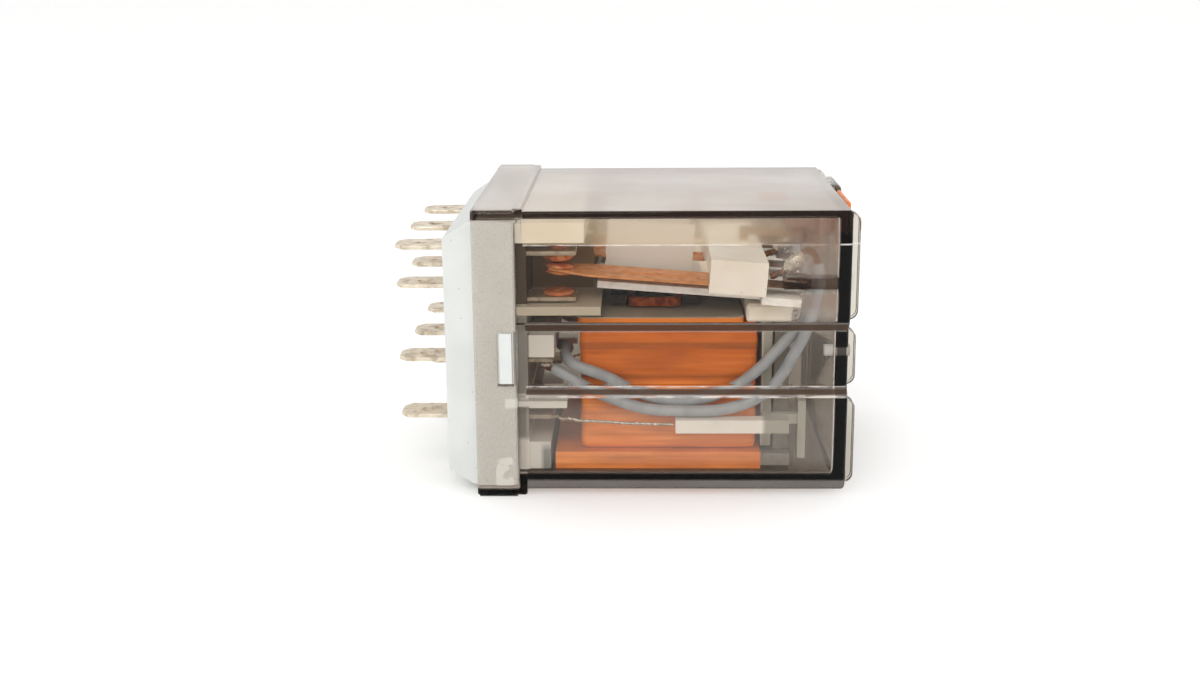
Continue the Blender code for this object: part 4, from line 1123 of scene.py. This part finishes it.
OUTER_ROUTE = (
    (12.2, -14.4, -2.75), (13.8, -14.7, -3.3), (17.4, -15.3, -5.3), (21.2, -15.7, -6.9),
    (25.0, -16.05, -7.9), (29.2, -16.15, -8.15), (33.5, -16.15, -8.1), (37.2, -16.05, -7.3),
    (39.9, -15.8, -5.9), (41.8, -15.5, -3.8), (43.3, -15.2, -1.3), (44.6, -14.9, 1.2),
    (45.6, -14.4, 3.6), (46.2, -13.9, 6.2), (46.4, -13.7, 8.8), (46.0, -13.5, 11.4),
    (45.0, -13.5, 12.5),
)
MIDDLE_ROUTE = (
    (12.2, -1.4, -2.75), (13.8, -2.6, -3.1), (14.6, -5.6, -2.6), (14.7, -9.0, -1.7),
    (14.7, -12.2, -1.9), (16.0, -14.75, -2.5), (19.8, -15.05, -3.9), (24.2, -15.0, -6.2),
    (28.5, -15.0, -7.2), (32.4, -15.0, -6.8), (36.2, -15.0, -5.2), (39.2, -14.85, -2.9),
    (41.0, -14.6, -1.0), (42.6, -14.1, 0.6), (44.4, -12.8, 1.8), (45.4, -9.9, 2.9),
    (45.9, -6.0, 4.2), (46.1, -2.4, 6.2), (46.3, -0.5, 9.0), (45.9, -0.2, 11.4),
    (45.0, -0.2, 12.5),
)
LEAD_RADIUS = 0.735
SLEEVE_TOP = 10.3


def make_pigtails():
    """Insulated flexible leads. Their upper ends move with the springs' lugs that they feed."""
    routes = (OUTER_ROUTE, MIDDLE_ROUTE, [(x, -y, z) for x, y, z in OUTER_ROUTE])
    for number, (route, y) in enumerate(zip(routes, ROWS), 1):
        points = smooth_path(route, 0.45)
        start = points[0]
        points = [p for p in points if p.x > 13.0 or p.z > -1.0]
        last = max(i for i, p in enumerate(points) if p.z < SLEEVE_TOP)
        sleeve = points[: last + 1]
        radii = [LEAD_RADIUS * (1.0 + 0.012 * math.sin(i * 1.7)) for i in range(len(sleeve))]
        radii[0] = radii[-1] = LEAD_RADIUS * 0.86
        lead = tube(f"lead_sleeve_{number}", sleeve, LEAD_RADIUS, 20, radii)
        stretched(lead, "grey_insulation", f"pigtail_{number}")
        over = [sleeve[-1], (45.9, y - 0.1, 11.3), (45.1, y, 11.9), (44.4, y, 11.2)]
        over += [(43.5, y, 10.3), (42.5, y, 9.5), (41.4, y - 0.35, 9.0), (40.3, y - 0.5, 8.75)]
        finished(twisted(f"lead_strands_{number}", over, 0.26, 5.0), "bare_strands", "armature")
        tail = [start + Vector((-0.6, 0.0, 0.2)), start, start.lerp(sleeve[0], 0.6), sleeve[1]]
        finished(twisted(f"lead_stub_{number}", tail, 0.24, 1.0), "bare_strands", "frame")
        on_strip = (12.15, start.y, -2.45)
        drop = blob(f"strip_solder_{number}", on_strip, (0.85, 0.8, 0.42), 0.0, 20.0 + number)
        finished(drop, "solder", "frame")


def make_solder():
    """The drops that join the leads' strands to the springs' lugs."""
    tilt = math.radians(48.0)
    for number, y in enumerate(ROWS, 1):
        on_lug = (43.45, y, 10.35)
        joint = blob(f"solder_drop_{number}", on_lug, (1.05, 1.0, 1.95), tilt, 3.0 * number)
        finished(joint, "solder", "armature", [f"solder_joint_{number}"])


COIL_X = (16.5, 39.0)
COIL_HALF_Y = 14.0
COIL_Z = (-13.75, 2.4)
COIL_LEVELS = 64
CORE_X = 28.0


def make_coil():
    """The taped coil: film wound in overlapping turns, a little slack between its edges."""
    rings = []
    low, high = COIL_Z
    for step in range(COIL_LEVELS + 1):
        share = step / COIL_LEVELS
        z = low + (high - low) * share
        edge = min(share, 1.0 - share) * COIL_LEVELS
        sink = 0.12 * max(0.0, 1.0 - edge / 1.5) ** 2
        wave = 0.05 * math.sin(share * 31.0) + 0.04 * noise.noise(Vector((share * 23.0, 4.0, 0.0)))
        lap = 0.07 if share > 0.62 else 0.0
        inward = 0.10 + sink - wave - lap
        along = (COIL_X[0] + inward, COIL_X[1] - inward)
        outline = rounded_box(along, both_ways(COIL_HALF_Y - inward), [0.9] * 4, 8)
        rings.append([(x, y, z) for x, y in outline])
    shell = lofted("coil_wrap", rings)
    hollow = slab("hollow", "Z", circle((CORE_X, 0.0), 5.9, 48), (low - 1.0, high + 1.0))
    foot_outline = rounded_box((16.8, 38.7), both_ways(13.7), [0.8] * 4)
    foot = slab("foot_space", "Z", foot_outline, (low - 1.0, -12.7))
    combined(shell, "DIFFERENCE", hollow, foot)
    finished(shell, "orange_tape", "frame", ["coil_tape", "coil_winding"])


COIL_LEAD_ROUTE = (
    (12.6, 14.3, -9.55), (13.6, 14.9, -9.25), (14.3, 15.4, -9.5), (15.2, 15.7, -9.3),
    (16.4, 15.95, -9.5), (18.5, 16.2, -9.5), (22.5, 16.4, -9.7), (28.3, 16.5, -9.85),
)


def make_coil_leads():
    """Kinked wires from the coil's tabs to the holder bars, one on each side."""
    for number, side in enumerate((-1, 1), 1):
        path = smooth_path([(x, side * y, z) for x, y, z in COIL_LEAD_ROUTE], 0.3)
        lead = tube(f"lead_wire_{number}", path, 0.2, 10)
        finished(lead, "solder", "frame", [f"coil_lead_{number}"])
        on_tab = (12.4, side * 14.1, -9.5)
        drop = blob(f"tab_solder_{number}", on_tab, (0.8, 0.7, 0.4), 0.0, 40.0 + number)
        finished(drop, "solder", "frame")


HELIX_X = 45.0
HELIX_Y = 6.5
HELIX_RADIUS = 1.1
HELIX_Z = (-5.6, 3.6)
HELIX_TURNS = 13
HELIX_STEPS = 18


def make_return_spring():
    """A close helix with a hook at each end, stretched by the armature."""
    points = [(HELIX_X, HELIX_Y, -6.9), (HELIX_X + 0.7, HELIX_Y, -6.5)]
    count = HELIX_TURNS * HELIX_STEPS
    for step in range(count + 1):
        angle = 2 * math.pi * step / HELIX_STEPS
        x = HELIX_X + HELIX_RADIUS * math.cos(angle)
        y = HELIX_Y + HELIX_RADIUS * math.sin(angle)
        points.append((x, y, HELIX_Z[0] + (HELIX_Z[1] - HELIX_Z[0]) * step / count))
    points += [(HELIX_X + 0.7, HELIX_Y, 4.4), (HELIX_X, HELIX_Y, 4.85)]
    spring = tube("tension_spring", points, 0.2, 8)
    stretched(spring, "plated_steel", "return_spring")


# -------- CAD nodes that are kept


SPECIAL_FINISHES = {
    "armature": "armature_steel",
    "core": "core_iron",
    "contact_block": "block_moulding",
    "contact_carrier": "carrier_moulding",
    "yoke": "yoke_steel",
}
MOULDED_EDGE = 0.15
METAL_EDGE = 0.08
TAB_EDGE = 0.06


def soften(node_name, width):
    """A CAD node keeps its shape, and its sharp edges are broken a little."""
    node = frame["nodes"][node_name]
    weld = node.modifiers.new("weld", "WELD")
    weld.merge_threshold = 0.001 * MM
    flat = node.modifiers.new("flat", "DECIMATE")
    flat.decimate_type = "DISSOLVE"
    flat.angle_limit = math.radians(0.5)
    bevel = node.modifiers.new("edges", "BEVEL")
    bevel.width = width * MM
    bevel.segments = 2
    bevel.limit_method = "ANGLE"
    bevel.angle_limit = math.radians(40)


def dress_cad_nodes():
    """Every CAD node gets its material, and the ones that show get softened edges."""
    for part in frame["record"]["subparts"]:
        node = frame["nodes"][part["node"]]
        node.data.materials.clear()
        finish_name = SPECIAL_FINISHES.get(part["node"], part["material_slot"])
        node.data.materials.append(FINISH[finish_name].material)
    for name in ("base", "contact_block", "contact_carrier", "armature_bearing", "coil_insulator"):
        soften(name, MOULDED_EDGE)
    for name in ("armature", "yoke", "core", "bobbin", "test_button", "yoke_sleeve"):
        soften(name, METAL_EDGE)
    for number in (1, 2, 3):
        for kind in ("nc", "no", "com"):
            soften(f"{kind}_terminal_{number}", TAB_EDGE)
    for number in (1, 2):
        soften(f"coil_terminal_{number}", TAB_EDGE)


FINISH = make_finishes()
make_camera()
make_floor()
make_studio()
dress_cad_nodes()
make_cover()
make_springs()
make_contacts()
make_solder()
make_pigtails()
make_coil()
make_coil_leads()
make_return_spring()
